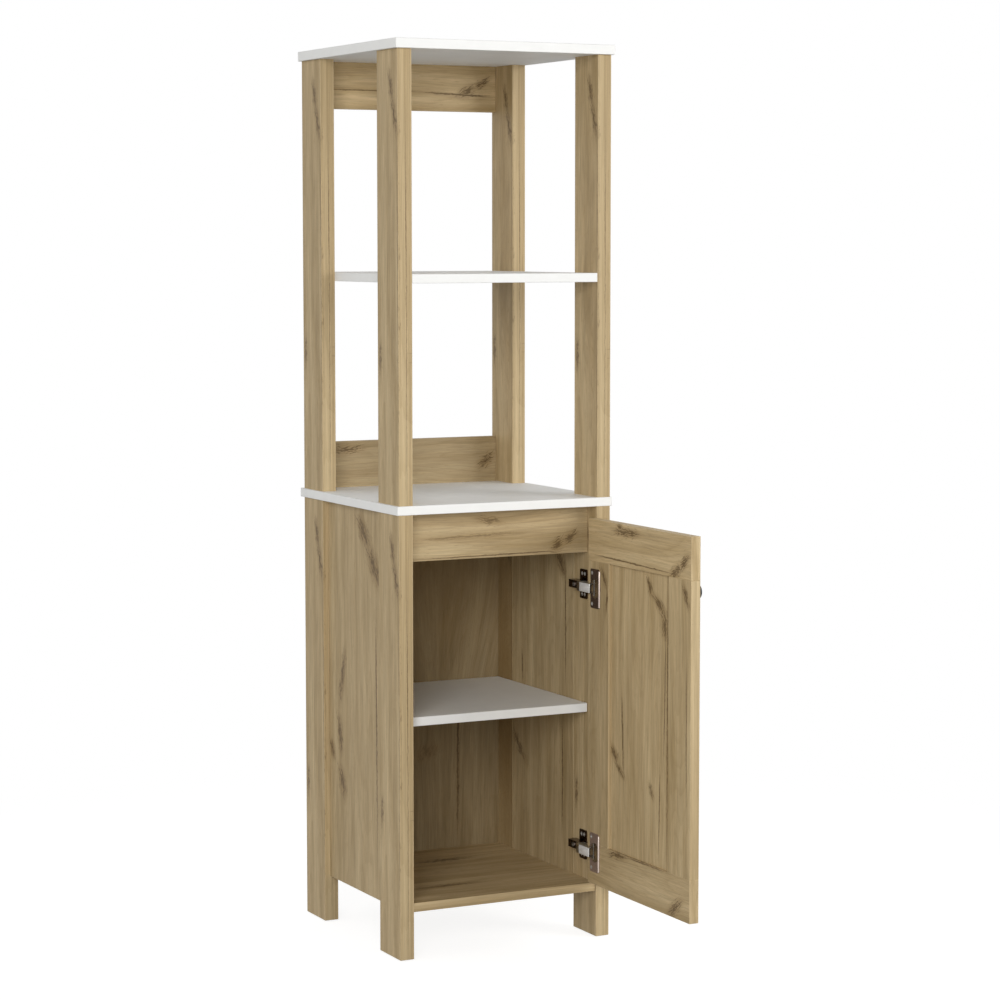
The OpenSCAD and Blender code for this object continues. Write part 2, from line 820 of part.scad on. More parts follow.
module plate_screws() {
    color(nickel) at_plate_screws() wood_screw();
}

// Arm: a channel that stands on the plate, open towards the leg
module hinge_arm(which) {
    color(bronze)
        on_leg(inner_x, front_y, hinge_zs[which])
            difference() {
                block([arm_y, -arm_w / 2, plate_t], [arm_y + arm_l, arm_w / 2, arm_h]);
                block(
                    [arm_y - 1, -arm_w / 2 + cheek_t, plate_t - 1],
                    [arm_y + arm_l + 1, arm_w / 2 - cheek_t, arm_h - web_t]
                );
                for (y = [fixing_y, adjust_y])
                    translate([y, 0, arm_h - web_t - 1]) cylinder(d = machine_dia + 2 * fit, h = web_t + 2);
            }
}

// Fixing screw with a pan head, and adjusting screw that bears on the pad
module arm_screws() {
    head_r = machine_head_dia / 2;
    tip_z = plate_t / 2;
    pad_z = plate_t + pad_t;
    color(zinc)
        for (z = hinge_zs)
            on_leg(inner_x, front_y, z) {
                translate([fixing_y, 0, 0])
                    difference() {
                        union() {
                            translate([0, 0, tip_z]) cylinder(d = machine_dia, h = arm_h - tip_z);
                            translate([0, 0, arm_h]) cylinder(r = head_r, h = machine_head_t);
                        }
                        for (a = [0, 90])
                            rotate([0, 0, a])
                                translate([-cross_l / 2, -cross_w / 2, arm_h + machine_head_t - cross_deep])
                                    cube([cross_l, cross_w, cross_deep + 1]);
                    }
                translate([adjust_y, 0, 0])
                    difference() {
                        translate([0, 0, pad_z]) cylinder(d = machine_dia, h = arm_h - pad_z);
                        translate([-machine_dia, -cross_w / 2, arm_h - cross_deep])
                            cube([2 * machine_dia, cross_w, cross_deep + 1]);
                    }
            }
}

// Door pieces are drawn closed and turned about the hinge line
module door_pose() {
    translate([inner_x, front_y, 0]) rotate([0, 0, door_open]) translate([-inner_x, -front_y, 0]) children();
}

// Places on the closed door's inner face: +X goes away from the hinge edge, +Y up, +Z into the cabinet
module on_door_inside(z) {
    translate([door_half_w, door_in_y, z]) rotate([90, 0, 180]) children();
}

module at_cup_screws() {
    for (z = hinge_zs, s = [-1, 1])
        on_door_inside(z) translate([cup_screw_in, s * cup_screw_up, flange_t]) children();
}

// All that is cut out of the door's frame
module door_cuts() {
    block(
        [-opening_half_w - groove_room, panel_y - groove_fit, opening_z - groove_room],
        [opening_half_w + groove_room, panel_y + door_panel_t + groove_fit, opening_top_z + groove_room]
    );
    for (p = DOOR_DOWELS)
        translate([p.x, door_mid_y, p.y - dowel_in_door - end_room])
            cylinder(r = dowel_r + fit, h = 2 * (dowel_in_door + end_room));
    for (z = hinge_zs)
        on_door_inside(z) translate([cup_in, 0, -cup_deep]) cylinder(r = cup_bore_r, h = cup_deep + 1);
    at_cup_screws() screw_hole();
    translate([knob_x, knob_y - 1, knob_z])
        along_y() cylinder(d = stud_dia + 2 * fit, h = 1 + stud_in_door + end_room);
}

module door_board(low_x, high_x, low_z, high_z) {
    color(oak)
        door_pose()
            difference() {
                board([low_x, front_y, low_z], [high_x, door_in_y, high_z]);
                door_cuts();
            }
}

module door_panel() {
    color(oak)
        door_pose()
            board(
                [-opening_half_w - door_tongue, panel_y, opening_z - door_tongue],
                [opening_half_w + door_tongue, panel_y + door_panel_t, opening_top_z + door_tongue]
            );
}

module door_dowels() {
    color(beech)
        door_pose()
            for (p = DOOR_DOWELS)
                translate([p.x, door_mid_y, p.y - dowel_in_door])
                    chamfered_bar(dowel_r, 2 * dowel_in_door, dowel_chamfer);
}

// Knob: foot, neck, sweep and a disc-shaped head with a rounded rim
module knob() {
    head_z = knob_out - knob_head_t;
    rim_x = knob_dia / 2 - knob_rim_r;
    neck_r = knob_neck_dia / 2;
    color(matt_black)
        door_pose()
            translate([knob_x, knob_y, knob_z])
                rotate([90, 0, 0])
                    difference() {
                        rotate_extrude() {
                            square([knob_foot_dia / 2, knob_foot_t]);
                            square([neck_r, knob_out - knob_head_t / 2]);
                            translate([neck_r - 0.1, head_z - knob_sweep_r])
                                difference() {
                                    square([knob_sweep_r + 0.1, knob_sweep_r + 0.1]);
                                    translate([knob_sweep_r + 0.1, 0]) circle(knob_sweep_r);
                                }
                            translate([0, head_z]) square([rim_x, knob_head_t]);
                            translate([0, head_z + knob_rim_r])
                                square([knob_dia / 2, knob_head_t - 2 * knob_rim_r]);
                            for (z = [head_z + knob_rim_r, knob_out - knob_rim_r])
                                translate([rim_x, z]) circle(knob_rim_r);
                        }
                        translate([0, 0, -1])
                            cylinder(d = stud_dia + 2 * fit, h = 1 + stud_in_knob + end_room);
                    }
}

module knob_stud() {
    color(zinc)
        door_pose()
            translate([knob_x, knob_y - stud_in_knob, knob_z])
                along_y() cylinder(d = stud_dia, h = stud_in_knob + stud_in_door);
}

// Bar on the line of the hinge pin, rounded off flush with the outside of the cup
module pin_bar(r) {
    intersection() {
        translate([pin_in, -cup_r, -pin_deep]) along_y() cylinder(r = r, h = 2 * cup_r);
        translate([cup_in, 0, -cup_h]) cylinder(r = cup_r, h = cup_h);
    }
}

// Cup with its rim and its flange, and holes in its wall that hold the pin
module hinge_cup(which) {
    color(bronze)
        door_pose()
            difference() {
                on_door_inside(hinge_zs[which])
                    difference() {
                        union() {
                            translate([cup_in, 0, -cup_h]) cylinder(r = cup_r, h = cup_h);
                            translate([cup_in, 0, 0]) cylinder(d = rim_dia, h = rim_t);
                            translate([cup_in - flange_w / 2, -flange_h / 2, 0])
                                linear_extrude(flange_t) round_rect(flange_w, flange_h, corner_r);
                        }
                        translate([cup_in, 0, -cup_h + cup_floor])
                            cylinder(r = cup_inner_r, h = cup_h + flange_t);
                        pin_bar(pin_r + fit);
                    }
                at_cup_screws() screw_hole();
            }
}

module cup_screws() {
    color(nickel) door_pose() at_cup_screws() wood_screw();
}

module hinge_pins() {
    color(zinc)
        door_pose()
            for (z = hinge_zs)
                on_door_inside(z) pin_bar(pin_r);
}

// Link: a channel with two eyes that turn on the pin, and deeper cheeks that lap over the arm
module hinge_link(which) {
    eye_r = eye_dia / 2;
    half_w = link_w / 2;
    inner_half_w = half_w - cheek_t;
    color(nickel)
        on_leg(link_x, link_y, hinge_zs[which])
            difference() {
                union() {
                    block([-link_nose, -half_w, link_h - link_cheek_h], [link_l, half_w, link_h]);
                    block([link_l - link_lap_l, -half_w, link_h - link_lap_h], [link_l, half_w, link_h]);
                    block([-eye_r, -half_w, 0], [eye_r, half_w, link_h]);
                    translate([0, -half_w, 0]) along_y() cylinder(r = eye_r, h = link_w);
                }
                block(
                    [-link_nose - 1, -inner_half_w, link_h - link_lap_h - 1],
                    [link_l + 1, inner_half_w, link_h - web_t]
                );
                translate([0, -half_w - 1, 0]) along_y() cylinder(r = pin_r + pin_fit, h = link_w + 2);
            }
}

leg(-1, front_y);  // leg_front_left
leg(1, front_y);  // leg_front_right
leg(-1, leg_fore_y);  // leg_back_left
leg(1, leg_fore_y);  // leg_back_right
glides();
side_panel(-1);  // side_panel_left
side_panel(1);  // side_panel_right
back_panel();
bottom_panel();
front_rail();
inner_shelf();
shelf_pegs();
counter_top();
post(-1, front_y);  // post_front_left
post(1, front_y);  // post_front_right
post(-1, leg_fore_y);  // post_back_left
post(1, leg_fore_y);  // post_back_right
open_shelf();
back_rail(upper_rail_z);  // upper_back_rail
back_rail(post_z);  // lower_back_rail
top_panel();
frame_dowels();
counter_dowels();
top_dowels();
cam_locks();
cam_bolts();
hinge_plate(upper);  // hinge_plate_upper
hinge_plate(lower);  // hinge_plate_lower
plate_screws();
hinge_arm(upper);  // hinge_arm_upper
hinge_arm(lower);  // hinge_arm_lower
arm_screws();
door_board(-door_half_w, door_half_w, opening_top_z, door_top_z);  // door_rail_top
door_board(-door_half_w, door_half_w, door_z, opening_z);  // door_rail_bottom
door_board(opening_half_w, door_half_w, opening_z, opening_top_z);  // door_stile_hinge
door_board(-door_half_w, -opening_half_w, opening_z, opening_top_z);  // door_stile_free
door_panel();
door_dowels();
knob();
knob_stud();
hinge_cup(upper);  // hinge_cup_upper
hinge_cup(lower);  // hinge_cup_lower
cup_screws();
hinge_pins();
hinge_link(upper);  // hinge_link_upper
hinge_link(lower);  // hinge_link_lower
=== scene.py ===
"""Bathroom cabinet: finishes for its parts, and a small studio to look at it in.

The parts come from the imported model, in metres, Z up, front towards -Y, with the door standing open.
This script gives each part its finish, adds the small pieces that the model leaves plain, and sets the
floor, the lamps and the camera. Pattern sizes are in millimetres inside the materials.
"""

import math

import bpy
from bpy.props import FloatProperty, FloatVectorProperty, PointerProperty
from mathutils import Matrix, Vector


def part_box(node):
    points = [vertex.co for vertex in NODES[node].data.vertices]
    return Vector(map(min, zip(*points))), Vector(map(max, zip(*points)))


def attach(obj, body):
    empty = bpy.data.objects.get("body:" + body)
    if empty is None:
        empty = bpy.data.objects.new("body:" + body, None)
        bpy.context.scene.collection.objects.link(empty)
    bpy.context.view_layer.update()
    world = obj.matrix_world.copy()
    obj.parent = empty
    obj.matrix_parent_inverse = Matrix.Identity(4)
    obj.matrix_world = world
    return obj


bl_info = {
    "name": "Bathroom cabinet",
    "version": (1, 0, 0),
    "blender": (4, 5, 0),
    "location": "3D View > Sidebar > Cabinet",
    "description": "Finishes, small pieces and studio of a bathroom cabinet",
    "category": "Object",
}

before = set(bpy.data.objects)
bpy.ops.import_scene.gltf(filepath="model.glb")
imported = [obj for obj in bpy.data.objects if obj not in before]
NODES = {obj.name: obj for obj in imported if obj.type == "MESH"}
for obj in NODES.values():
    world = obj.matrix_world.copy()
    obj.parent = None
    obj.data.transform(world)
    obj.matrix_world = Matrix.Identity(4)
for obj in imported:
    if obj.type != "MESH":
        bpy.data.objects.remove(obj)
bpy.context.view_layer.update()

AXES = {"X": Vector((1, 0, 0)), "Y": Vector((0, 1, 0)), "Z": Vector((0, 0, 1))}

# Splits and brown zones of the printed oak, and painted shade in the cupboard and along the door's panel.
# Each has the axis its face looks along, its two ends in mm in the cabinet's frame (for the uprights, from
# the upright's middle), half width of the torn grain and of the split itself in mm, how brown or how dark it
# is, and a number that gives it its own shape
UPRIGHT_SPLITS = [
    ("X", (-12.5, -8, 340), (-12.5, -20, 280), 10, 1.5, 0.7, 3.0),
    ("X", (-12.5, -18, 300), (-12.5, -36, 220), 10, 1.6, 0.7, 8.3),
    ("X", (-12.5, 29, -92), (-12.5, 31, -168), 8, 1, 0.6, 17.7),
    ("X", (-12.5, -38.5, 330), (-12.5, -38.5, -400), 1.5, 0.6, 0.1, 23.1),
    ("X", (-12.5, -22, 250), (-12.5, -22, -420), 9, 0, 0.15, 29.0),
    ("Y", (1.5, -40, 318), (2.5, -40, -420), 1.5, 0.45, 0.2, 35.2),
    ("Y", (8, -40, 400), (8, -40, -400), 6, 0, 0.12, 41.0),
    ("X", (12.5, 12, -150), (12.5, 3, -240), 13, 2.2, 0.8, 47.4),
    ("X", (12.5, -20, 190), (12.5, -26, 90), 9, 1.4, 0.6, 53.8),
    ("Y", (-3, 40, 300), (-2, 40, -300), 1.5, 0.5, 0.3, 59.3),
]
# Painted shade on the inner faces of the right-hand uprights, darkest on the back leg deep in the cupboard's
# corner
UPRIGHT_PAINTED_SHADE = {
    "leg_back_right": [("X", (-12.5, -12, 420), (-12.5, -12, -420), 70, 0, 1.2, 19.6)],
    "post_back_right": [("X", (-12.5, 0, 420), (-12.5, 0, -420), 70, 0, 0.4, 26.3)],
    "post_front_right": [("X", (-12.5, 0, 420), (-12.5, 0, -420), 70, 0, 0.2, 31.8)],
}
MARKS_AND_PAINTED_SHADE = {
    "side_panel_left": [
        ("X", (-185, 152, 726), (-185, 110, 660), 24, 3.2, 1.1, 21.0),
        ("X", (-185, 110, 678), (-185, 68, 600), 24, 3.4, 1.1, 5.5),
        ("X", (-185, 206, 500), (-185, 238, 372), 12, 1.7, 0.8, 31.2),
        ("X", (-185, 240, 384), (-185, 226, 290), 12, 1.9, 0.8, 36.9),
        ("X", (-185, 270, 326), (-185, 258, 284), 13, 2.4, 0.8, 41.6),
        ("X", (-185, 232, 290), (-185, 214, 222), 17, 2.8, 0.9, 46.1),
        ("X", (-185, 83, 590), (-185, 80, 120), 3.5, 1.5, 0.8, 51.7),
        ("X", (-185, 182, 700), (-185, 180, 200), 24, 0, 0.25, 56.0),
    ],
    "side_panel_right": [
        ("X", (170, 79, 640), (170, 79, 402), 3, 1.7, 0.6, 61.3),
        ("X", (170, 104, 652), (170, 84, 600), 17, 2.8, 0.9, 66.2),
        ("X", (170, 241, 462), (170, 239, 396), 3, 1.5, 0.6, 71.9),
        ("X", (170, 89, 372), (170, 90, 130), 3, 1.3, 0.5, 76.4),
        ("X", (170, 280, 320), (170, 225, 252), 14, 1.6, 0.6, 81.5),
        ("X", (170, 262, 720), (170, 262, 100), 22, 0, 0.4, 86.0),
        ("X", (185, 130, 690), (185, 160, 590), 14, 2.1, 0.9, 91.2),
        ("X", (185, 216, 300), (185, 202, 190), 12, 1.7, 0.8, 96.7),
        ("X", (185, 95, 480), (185, 92, 130), 2, 1.1, 0.5, 12.4),
    ],
    "back_panel": [
        # Painted shade: the wide dark zone over the upper back wall of the cupboard
        ("Y", (40, 334, 900), (40, 334, 380), 220, 0, 0.7, 17.4),
        ("Y", (89, 334, 378), (88, 334, 98), 3, 1.7, 0.6, 22.8),
        ("Y", (38, 334, 290), (14, 334, 250), 23, 0.4, 0.5, 32.1),
        ("Y", (-40, 334, 700), (-44, 334, 420), 4, 1.4, 0.5, 37.5),
        ("Y", (-70, 349, 620), (-40, 349, 520), 13, 2.1, 0.9, 42.6),
        ("Y", (84, 349, 400), (72, 349, 230), 10, 1.7, 0.8, 52.2),
        ("Y", (-120, 349, 380), (-122, 349, 110), 2, 1.2, 0.5, 57.9),
    ],
    "bottom_panel": [
        ("Z", (-140, 62, 95), (10, 66, 95), 10, 1.8, 0.6, 62.7),
        ("Z", (-60, 240, 95), (90, 246, 95), 14, 1.6, 0.6, 72.3),
    ],
    "front_rail": [
        ("Y", (98, 1, 664), (126, 1, 676), 14, 2.2, 0.8, 82.5),
        ("Y", (120, 1, 676), (154, 1, 690), 11, 2.2, 0.8, 87.1),
        ("Y", (-168, 1, 658), (150, 1, 660), 1.6, 1, 0.5, 92.4),
        ("Y", (-45, 1, 722), (15, 1, 712), 8, 0.7, 0.6, 13.9),
        ("Y", (-168, 1, 690), (60, 1, 694), 4, 0.4, 0.4, 97.2),
    ],
    "upper_back_rail": [
        ("Y", (-168, 344, 1437), (24, 344, 1437), 1.6, 1.1, 0.6, 23.3),
        ("Y", (16, 344, 1437), (168, 344, 1430), 2.5, 1.5, 0.7, 28.8),
        ("Y", (92, 344, 1433), (134, 344, 1446), 11, 1.6, 0.8, 33.4),
        ("Y", (126, 344, 1446), (160, 344, 1462), 9, 2.0, 0.8, 38.1),
        ("Y", (-100, 359, 1446), (-20, 359, 1456), 12, 1.8, 0.8, 43.7),
        ("Y", (40, 359, 1430), (150, 359, 1428), 2, 1.2, 0.5, 48.2),
    ],
    "lower_back_rail": [
        ("Y", (-160, 344, 812), (-80, 344, 818), 9, 1.4, 0.6, 53.6),
        ("Y", (130, 344, 778), (168, 344, 796), 14, 2.8, 0.8, 63.9),
        ("Y", (-30, 359, 786), (70, 359, 796), 12, 1.7, 0.8, 73.5),
    ],
    "door_rail_top": [
        ("X", (153, -110, 703), (153, -214, 704), 9, 1.9, 0.9, 83.2),
        ("X", (153, -128, 713), (153, -152, 706), 10, 1.8, 0.8, 88.6),
        # Painted shade along the rail's lower edge, where the panel is let in
        ("X", (153, -36, 658), (153, -345, 651), 1.8, 1.2, 0.6, 14.4),
        ("X", (153, -300, 648), (153, -342, 664), 14, 2.6, 0.9, 24.7),
        ("X", (153, -330, 662), (153, -366, 684), 13, 2.8, 0.9, 29.2),
        ("X", (170, -280, 676), (170, -200, 690), 12, 1.8, 0.8, 34.5),
    ],
    "door_rail_bottom": [
        ("X", (153, -100, 163), (153, -176, 166), 9, 2, 0.8, 44.3),
        # The next two are painted shade along the rail's upper edge, where the panel is let in
        ("X", (153, -150, 167), (153, -310, 167), 2.5, 0.9, 0.8, 49.8),
        ("X", (153, -95, 168), (153, -310, 168), 3, 0, 0.8, 68.1),
        ("X", (153, -298, 100), (153, -350, 130), 14, 2.8, 0.9, 54.1),
        ("X", (170, -180, 124), (170, -90, 134), 10, 1.6, 0.8, 64.6),
    ],
    "door_panel": [
        # Painted shade along the panel's edge beside the free stile
        ("X", (158, -289, 700), (158, -289, 100), 4, 0.7, 1.0, 13.3),
        ("X", (158, -118, 322), (158, -150, 290), 11, 1.8, 0.8, 58.4),
        ("X", (158, -224, 642), (158, -236, 604), 10, 2.6, 0.9, 74.9),
        ("X", (158, -240, 616), (158, -284, 574), 17, 3, 0.9, 84.2),
        ("X", (158, -276, 590), (158, -283, 534), 13, 2.6, 0.9, 89.3),
        ("X", (158, -283, 560), (158, -277, 330), 1.8, 1.3, 0.6, 94.8),
        ("X", (158, -104, 348), (158, -128, 312), 14, 2.4, 0.9, 15.1),
        ("X", (158, -140, 440), (158, -146, 290), 3, 1.6, 0.7, 25.6),
        ("X", (158, -266, 330), (158, -262, 176), 2, 1.2, 0.5, 30.2),
        ("X", (158, -230, 306), (158, -246, 270), 9, 0.9, 0.5, 40.7),
        ("X", (165, -170, 540), (165, -206, 440), 15, 2.1, 0.9, 35.3),
        ("X", (165, -246, 300), (165, -240, 130), 3, 1.6, 0.6, 45.5),
    ],
    "door_stile_hinge": [
        ("X", (153, -76, 642), (153, -99, 598), 9, 1.8, 0.7, 55.7),
        ("X", (153, -99, 604), (153, -94, 560), 4, 1.4, 0.6, 60.9),
        ("X", (170, -62, 460), (170, -78, 360), 9, 1.4, 0.8, 65.2),
    ],
    "door_stile_free": [
        ("X", (153, -345, 642), (153, -362, 596), 9, 2, 0.8, 75.4),
        ("X", (153, -356, 520), (153, -357, 250), 1.8, 1.1, 0.5, 85.8),
        ("X", (170, -318, 360), (170, -336, 260), 9, 1.4, 0.8, 95.1),
    ],
}

UPRIGHTS = [
    "leg_front_left", "leg_front_right", "leg_back_left", "leg_back_right",
    "post_front_left", "post_front_right", "post_back_left", "post_back_right",
]
# The axis along each board's grain, the one through its thickness, and how pale its piece of the print is.
# The back panel's low value is painted shade that darkens the cupboard's back wall
OAK_BOARDS = {
    "side_panel_left": ("ZX", 0.98), "side_panel_right": ("ZX", 0.93), "back_panel": ("ZY", 0.64),
    "bottom_panel": ("XZ", 1.08), "front_rail": ("XY", 0.93), "upper_back_rail": ("XY", 1.14),
    "lower_back_rail": ("XY", 0.8),
}
DOOR_BOARDS = {
    "door_rail_top": ("YX", 1.13), "door_rail_bottom": ("YX", 1.04), "door_stile_hinge": ("ZX", 0.98),
    "door_stile_free": ("ZX", 1.04), "door_panel": ("ZX", 1.08),
}
WHITE_BOARDS = ["counter_top", "top_panel", "inner_shelf", "open_shelf"]
DOWELS = {"frame_dowels": "XY", "counter_dowels": "ZX", "top_dowels": "ZX", "door_dowels": "ZX"}
BRONZED = {
    "hinge_plate_upper": "ZX", "hinge_plate_lower": "ZX", "hinge_arm_upper": "YX", "hinge_arm_lower": "YX",
}
LINKS = ["hinge_link_upper", "hinge_link_lower"]
CUPS = ["hinge_cup_upper", "hinge_cup_lower"]
NICKELLED = {"plate_screws": "XY", "cup_screws": "XY", "shelf_pegs": "XY"}
ZINC_PLATED = ["cam_locks", "cam_bolts", "arm_screws", "knob_stud"]

MM = 1000
# How pale the uprights' print is, and how far along the print each next board is cut, in mm
UPRIGHT_TONE = 1.02
BOARD_STEP = Vector((400, 137, 61))
DOOR_STEP = Vector((-350, -113, 47))
# How far below its face a split reaches, in mm
SPLIT_DEPTH = 7
# The edging's print is straighter and finer than the board's, and is cut from elsewhere in it
EDGING_SQUEEZE = (0.4, 2, 2)
EDGING_SHIFT = (900, 300, 300)
# A face looks along an axis where its normal has more than this of it
SQUARE_ON = 0.7

WHITE_LIGHT = (1, 1, 1, 1)
FLOOR_SIZE = 40
# What the floor glows with, so that it looks white but for the cabinet's shadow
FLOOR_GLOW = 0.84
# How far from the middle the floor begins and ends to fade into the white backdrop, in metres
FLOOR_FADE = (0.5, 1.6)
LAMP_SIZE = 2.5
LAMP_TARGET = (0, 0.1, 0.75)
LEFT_LAMP_PLACE = (-2.9, -4.5, 1.9)
RIGHT_LAMP_PLACE = (3.3, -3.4, 2.1)
# The camera's place in metres and its turns in degrees, fitted to the cabinet's corners
CAMERA_PLACE = (-2.11354, -4.17602, 1.17724)
CAMERA_TURN = (84.7873, 0.018, -26.8886)
SENSOR_WIDTH = 36


def linear(code):
    """The linear colour that Blender's sockets take, from an sRGB hex colour."""
    parts = [int(code[i:i + 2], 16) / 255 for i in (1, 3, 5)]
    return [p / 12.92 if p <= 0.04045 else ((p + 0.055) / 1.055) ** 2.4 for p in parts] + [1.0]


class OakSettings(bpy.types.PropertyGroup):
    """Colours and pattern sizes of the printed oak."""

    light: FloatVectorProperty(
        name="Light bands", description="Colour of the pale bands in the oak",
        subtype="COLOR", size=4, min=0, max=1, default=linear("#CDB992"),
    )
    middle: FloatVectorProperty(
        name="Main colour", description="Colour of most of the oak",
        subtype="COLOR", size=4, min=0, max=1, default=linear("#B59F79"),
    )
    dark: FloatVectorProperty(
        name="Dark bands", description="Colour of the dark bands and growth lines in the oak",
        subtype="COLOR", size=4, min=0, max=1, default=linear("#907950"),
    )
    # Also the colour of the painted shade zones in the cupboard and on the door's bottom rail
    torn_grain_and_painted_shade: FloatVectorProperty(
        name="Torn grain", description="Colour of the oak round a split",
        subtype="COLOR", size=4, min=0, max=1, default=linear("#84693F"),
    )
    # Also the colour of the painted shade lines along the door panel's edges
    split: FloatVectorProperty(
        name="Splits", description="Colour inside the splits",
        subtype="COLOR", size=4, min=0, max=1, default=linear("#4A3723"),
    )
    band: FloatProperty(
        name="Band width", description="Width of the pale and dark bands",
        unit="LENGTH", min=0.004, max=0.08, default=0.024,
    )
    fibre: FloatProperty(
        name="Fibre width", description="Width of the finest streaks that show",
        unit="LENGTH", min=0.0004, max=0.004, default=0.0016,
    )


class WhiteSettings(bpy.types.PropertyGroup):
    """Colours of the white boards."""

    board: FloatVectorProperty(
        name="White", description="Colour of the white melamine",
        subtype="COLOR", size=4, min=0, max=1, default=linear("#F4F4F2"),
    )
    shade: FloatVectorProperty(
        name="Cloudy white", description="Colour of the faint cloudy patches in the white",
        subtype="COLOR", size=4, min=0, max=1, default=linear("#EDEDEA"),
    )
    joint: FloatVectorProperty(
        name="Edging joint", description="Colour of the fine line where the edging meets the board",
        subtype="COLOR", size=4, min=0, max=1, default=linear("#D2D2CE"),
    )


class HardwareSettings(bpy.types.PropertyGroup):
    """Colours of the hinges, screws, knob and glides, and the sizes of the hinges' trim."""

    bronze: FloatVectorProperty(
        name="Bronzed steel", description="Colour of the hinges' plates, arms and upper cup",
        subtype="COLOR", size=4, min=0, max=1, default=linear("#5C4A3E"),
    )
    worn: FloatVectorProperty(
        name="Worn bronze", description="Colour of the lower hinge's cup",
        subtype="COLOR", size=4, min=0, max=1, default=linear("#A08A7D"),
    )
    nickel: FloatVectorProperty(
        name="Nickel plate", description="Colour of the links, the screws and the shelf pegs",
        subtype="COLOR", size=4, min=0, max=1, default=linear("#D0CFCB"),
    )
    zinc: FloatVectorProperty(
        name="Zinc plate", description="Colour of the cams, bolts and arm screws",
        subtype="COLOR", size=4, min=0, max=1, default=linear("#A9A9A6"),
    )
    pins: FloatVectorProperty(
        name="Hinge pins", description="Colour of the dull zinc on the hinge pins",
        subtype="COLOR", size=4, min=0, max=1, default=linear("#6F6860"),
    )
    beech: FloatVectorProperty(
        name="Beech", description="Colour of the dowels",
        subtype="COLOR", size=4, min=0, max=1, default=linear("#D9BE8F"),
    )
    knob: FloatVectorProperty(
        name="Knob", description="Colour of the knob's paint",
        subtype="COLOR", size=4, min=0, max=1, default=linear("#1B1B1C"),
    )
    glide: FloatVectorProperty(
        name="Glides", description="Colour of the glides under the legs",
        subtype="COLOR", size=4, min=0, max=1, default=linear("#6E6C68"),
    )
    bright: FloatVectorProperty(
        name="Link covers", description="Colour of the bright plating on the links' covers",
        subtype="COLOR", size=4, min=0, max=1, default=linear("#F2F1EF"),
    )
    # The beads stand for the flanges' rolled edges, and their pale colour is a painted reflection on the
    # bronzed steel
    rolled: FloatVectorProperty(
        name="Rolled edges", description="Colour of the beads along the hinge flanges",
        subtype="COLOR", size=4, min=0, max=1, default=linear("#D2C1B6"),
    )
    lining: FloatVectorProperty(
        name="Cup insides", description="Colour inside the hinge cups",
        subtype="COLOR", size=4, min=0, max=1, default=linear("#8F7B5E"),
    )
    cover: FloatProperty(
        name="Cover length", description="Length of the cover on each hinge's link",
        unit="LENGTH", min=0.02, max=0.04, default=0.034,
    )
    bead: FloatProperty(
        name="Bead radius", description="Radius of the rolled edge of each hinge flange",
        unit="LENGTH", min=0.0005, max=0.003, default=0.002,
    )


class StageSettings(bpy.types.PropertyGroup):
    """Studio round the cabinet."""

    floor: FloatVectorProperty(
        name="Floor", description="Colour of the floor",
        subtype="COLOR", size=4, min=0, max=1, default=linear("#A2A19F"),
    )
    front: FloatProperty(
        name="Front light", description="Brightness of the room in front of the cabinet",
        min=0, max=3, default=0.1,
    )
    left: FloatProperty(
        name="Left light", description="Brightness of the room to the left",
        min=0, max=3, default=0.99,
    )
    right: FloatProperty(
        name="Right light", description="Brightness of the room to the right",
        min=0, max=3, default=0.6,
    )
    back: FloatProperty(
        name="Back light", description="Brightness of the room behind",
        min=0, max=3, default=0.8,
    )
    above: FloatProperty(
        name="Top light", description="Brightness of the room above",
        min=0, max=3, default=0.12,
    )
    key: FloatProperty(
        name="Left lamp", description="Power of the large lamp in front, at the left",
        unit="POWER", min=0, max=2000, default=161,
    )
    fill: FloatProperty(
        name="Right lamp", description="Power of the large lamp in front, at the right",
        unit="POWER", min=0, max=2000, default=120,
    )
    lens: FloatProperty(
        name="Lens", description="Focal length of the camera",
        unit="CAMERA", min=20, max=300, default=102.17,
    )


def add(tree, kind, settings=(), links=()):
    """Adds a node, sets its properties, and puts values or other nodes' sockets on its inputs."""
    node = tree.nodes.new("ShaderNode" + kind)
    node.location.x = 190 * len(tree.nodes)
    for name, value in dict(settings).items():
        setattr(node, name, value)
    for name, value in dict(links).items():
        if isinstance(value, bpy.types.NodeSocket):
            tree.links.new(value, node.inputs[name])
        else:
            node.inputs[name].default_value = value
    return node


def new_group(name, inputs, outputs):
    """An empty node group with these sockets, and its input and output nodes."""
    tree = bpy.data.node_groups.new(name, "ShaderNodeTree")
    for label, kind in inputs:
        tree.interface.new_socket(label, in_out="INPUT", socket_type="NodeSocket" + kind)
    for label, kind in outputs:
        tree.interface.new_socket(label, in_out="OUTPUT", socket_type="NodeSocket" + kind)
    return tree, tree.nodes.new("NodeGroupInput").outputs


def close_group(tree, links):
    """Adds a group's output node and links it."""
    out = tree.nodes.new("NodeGroupOutput")
    for name, socket in links.items():
        tree.links.new(socket, out.inputs[name])


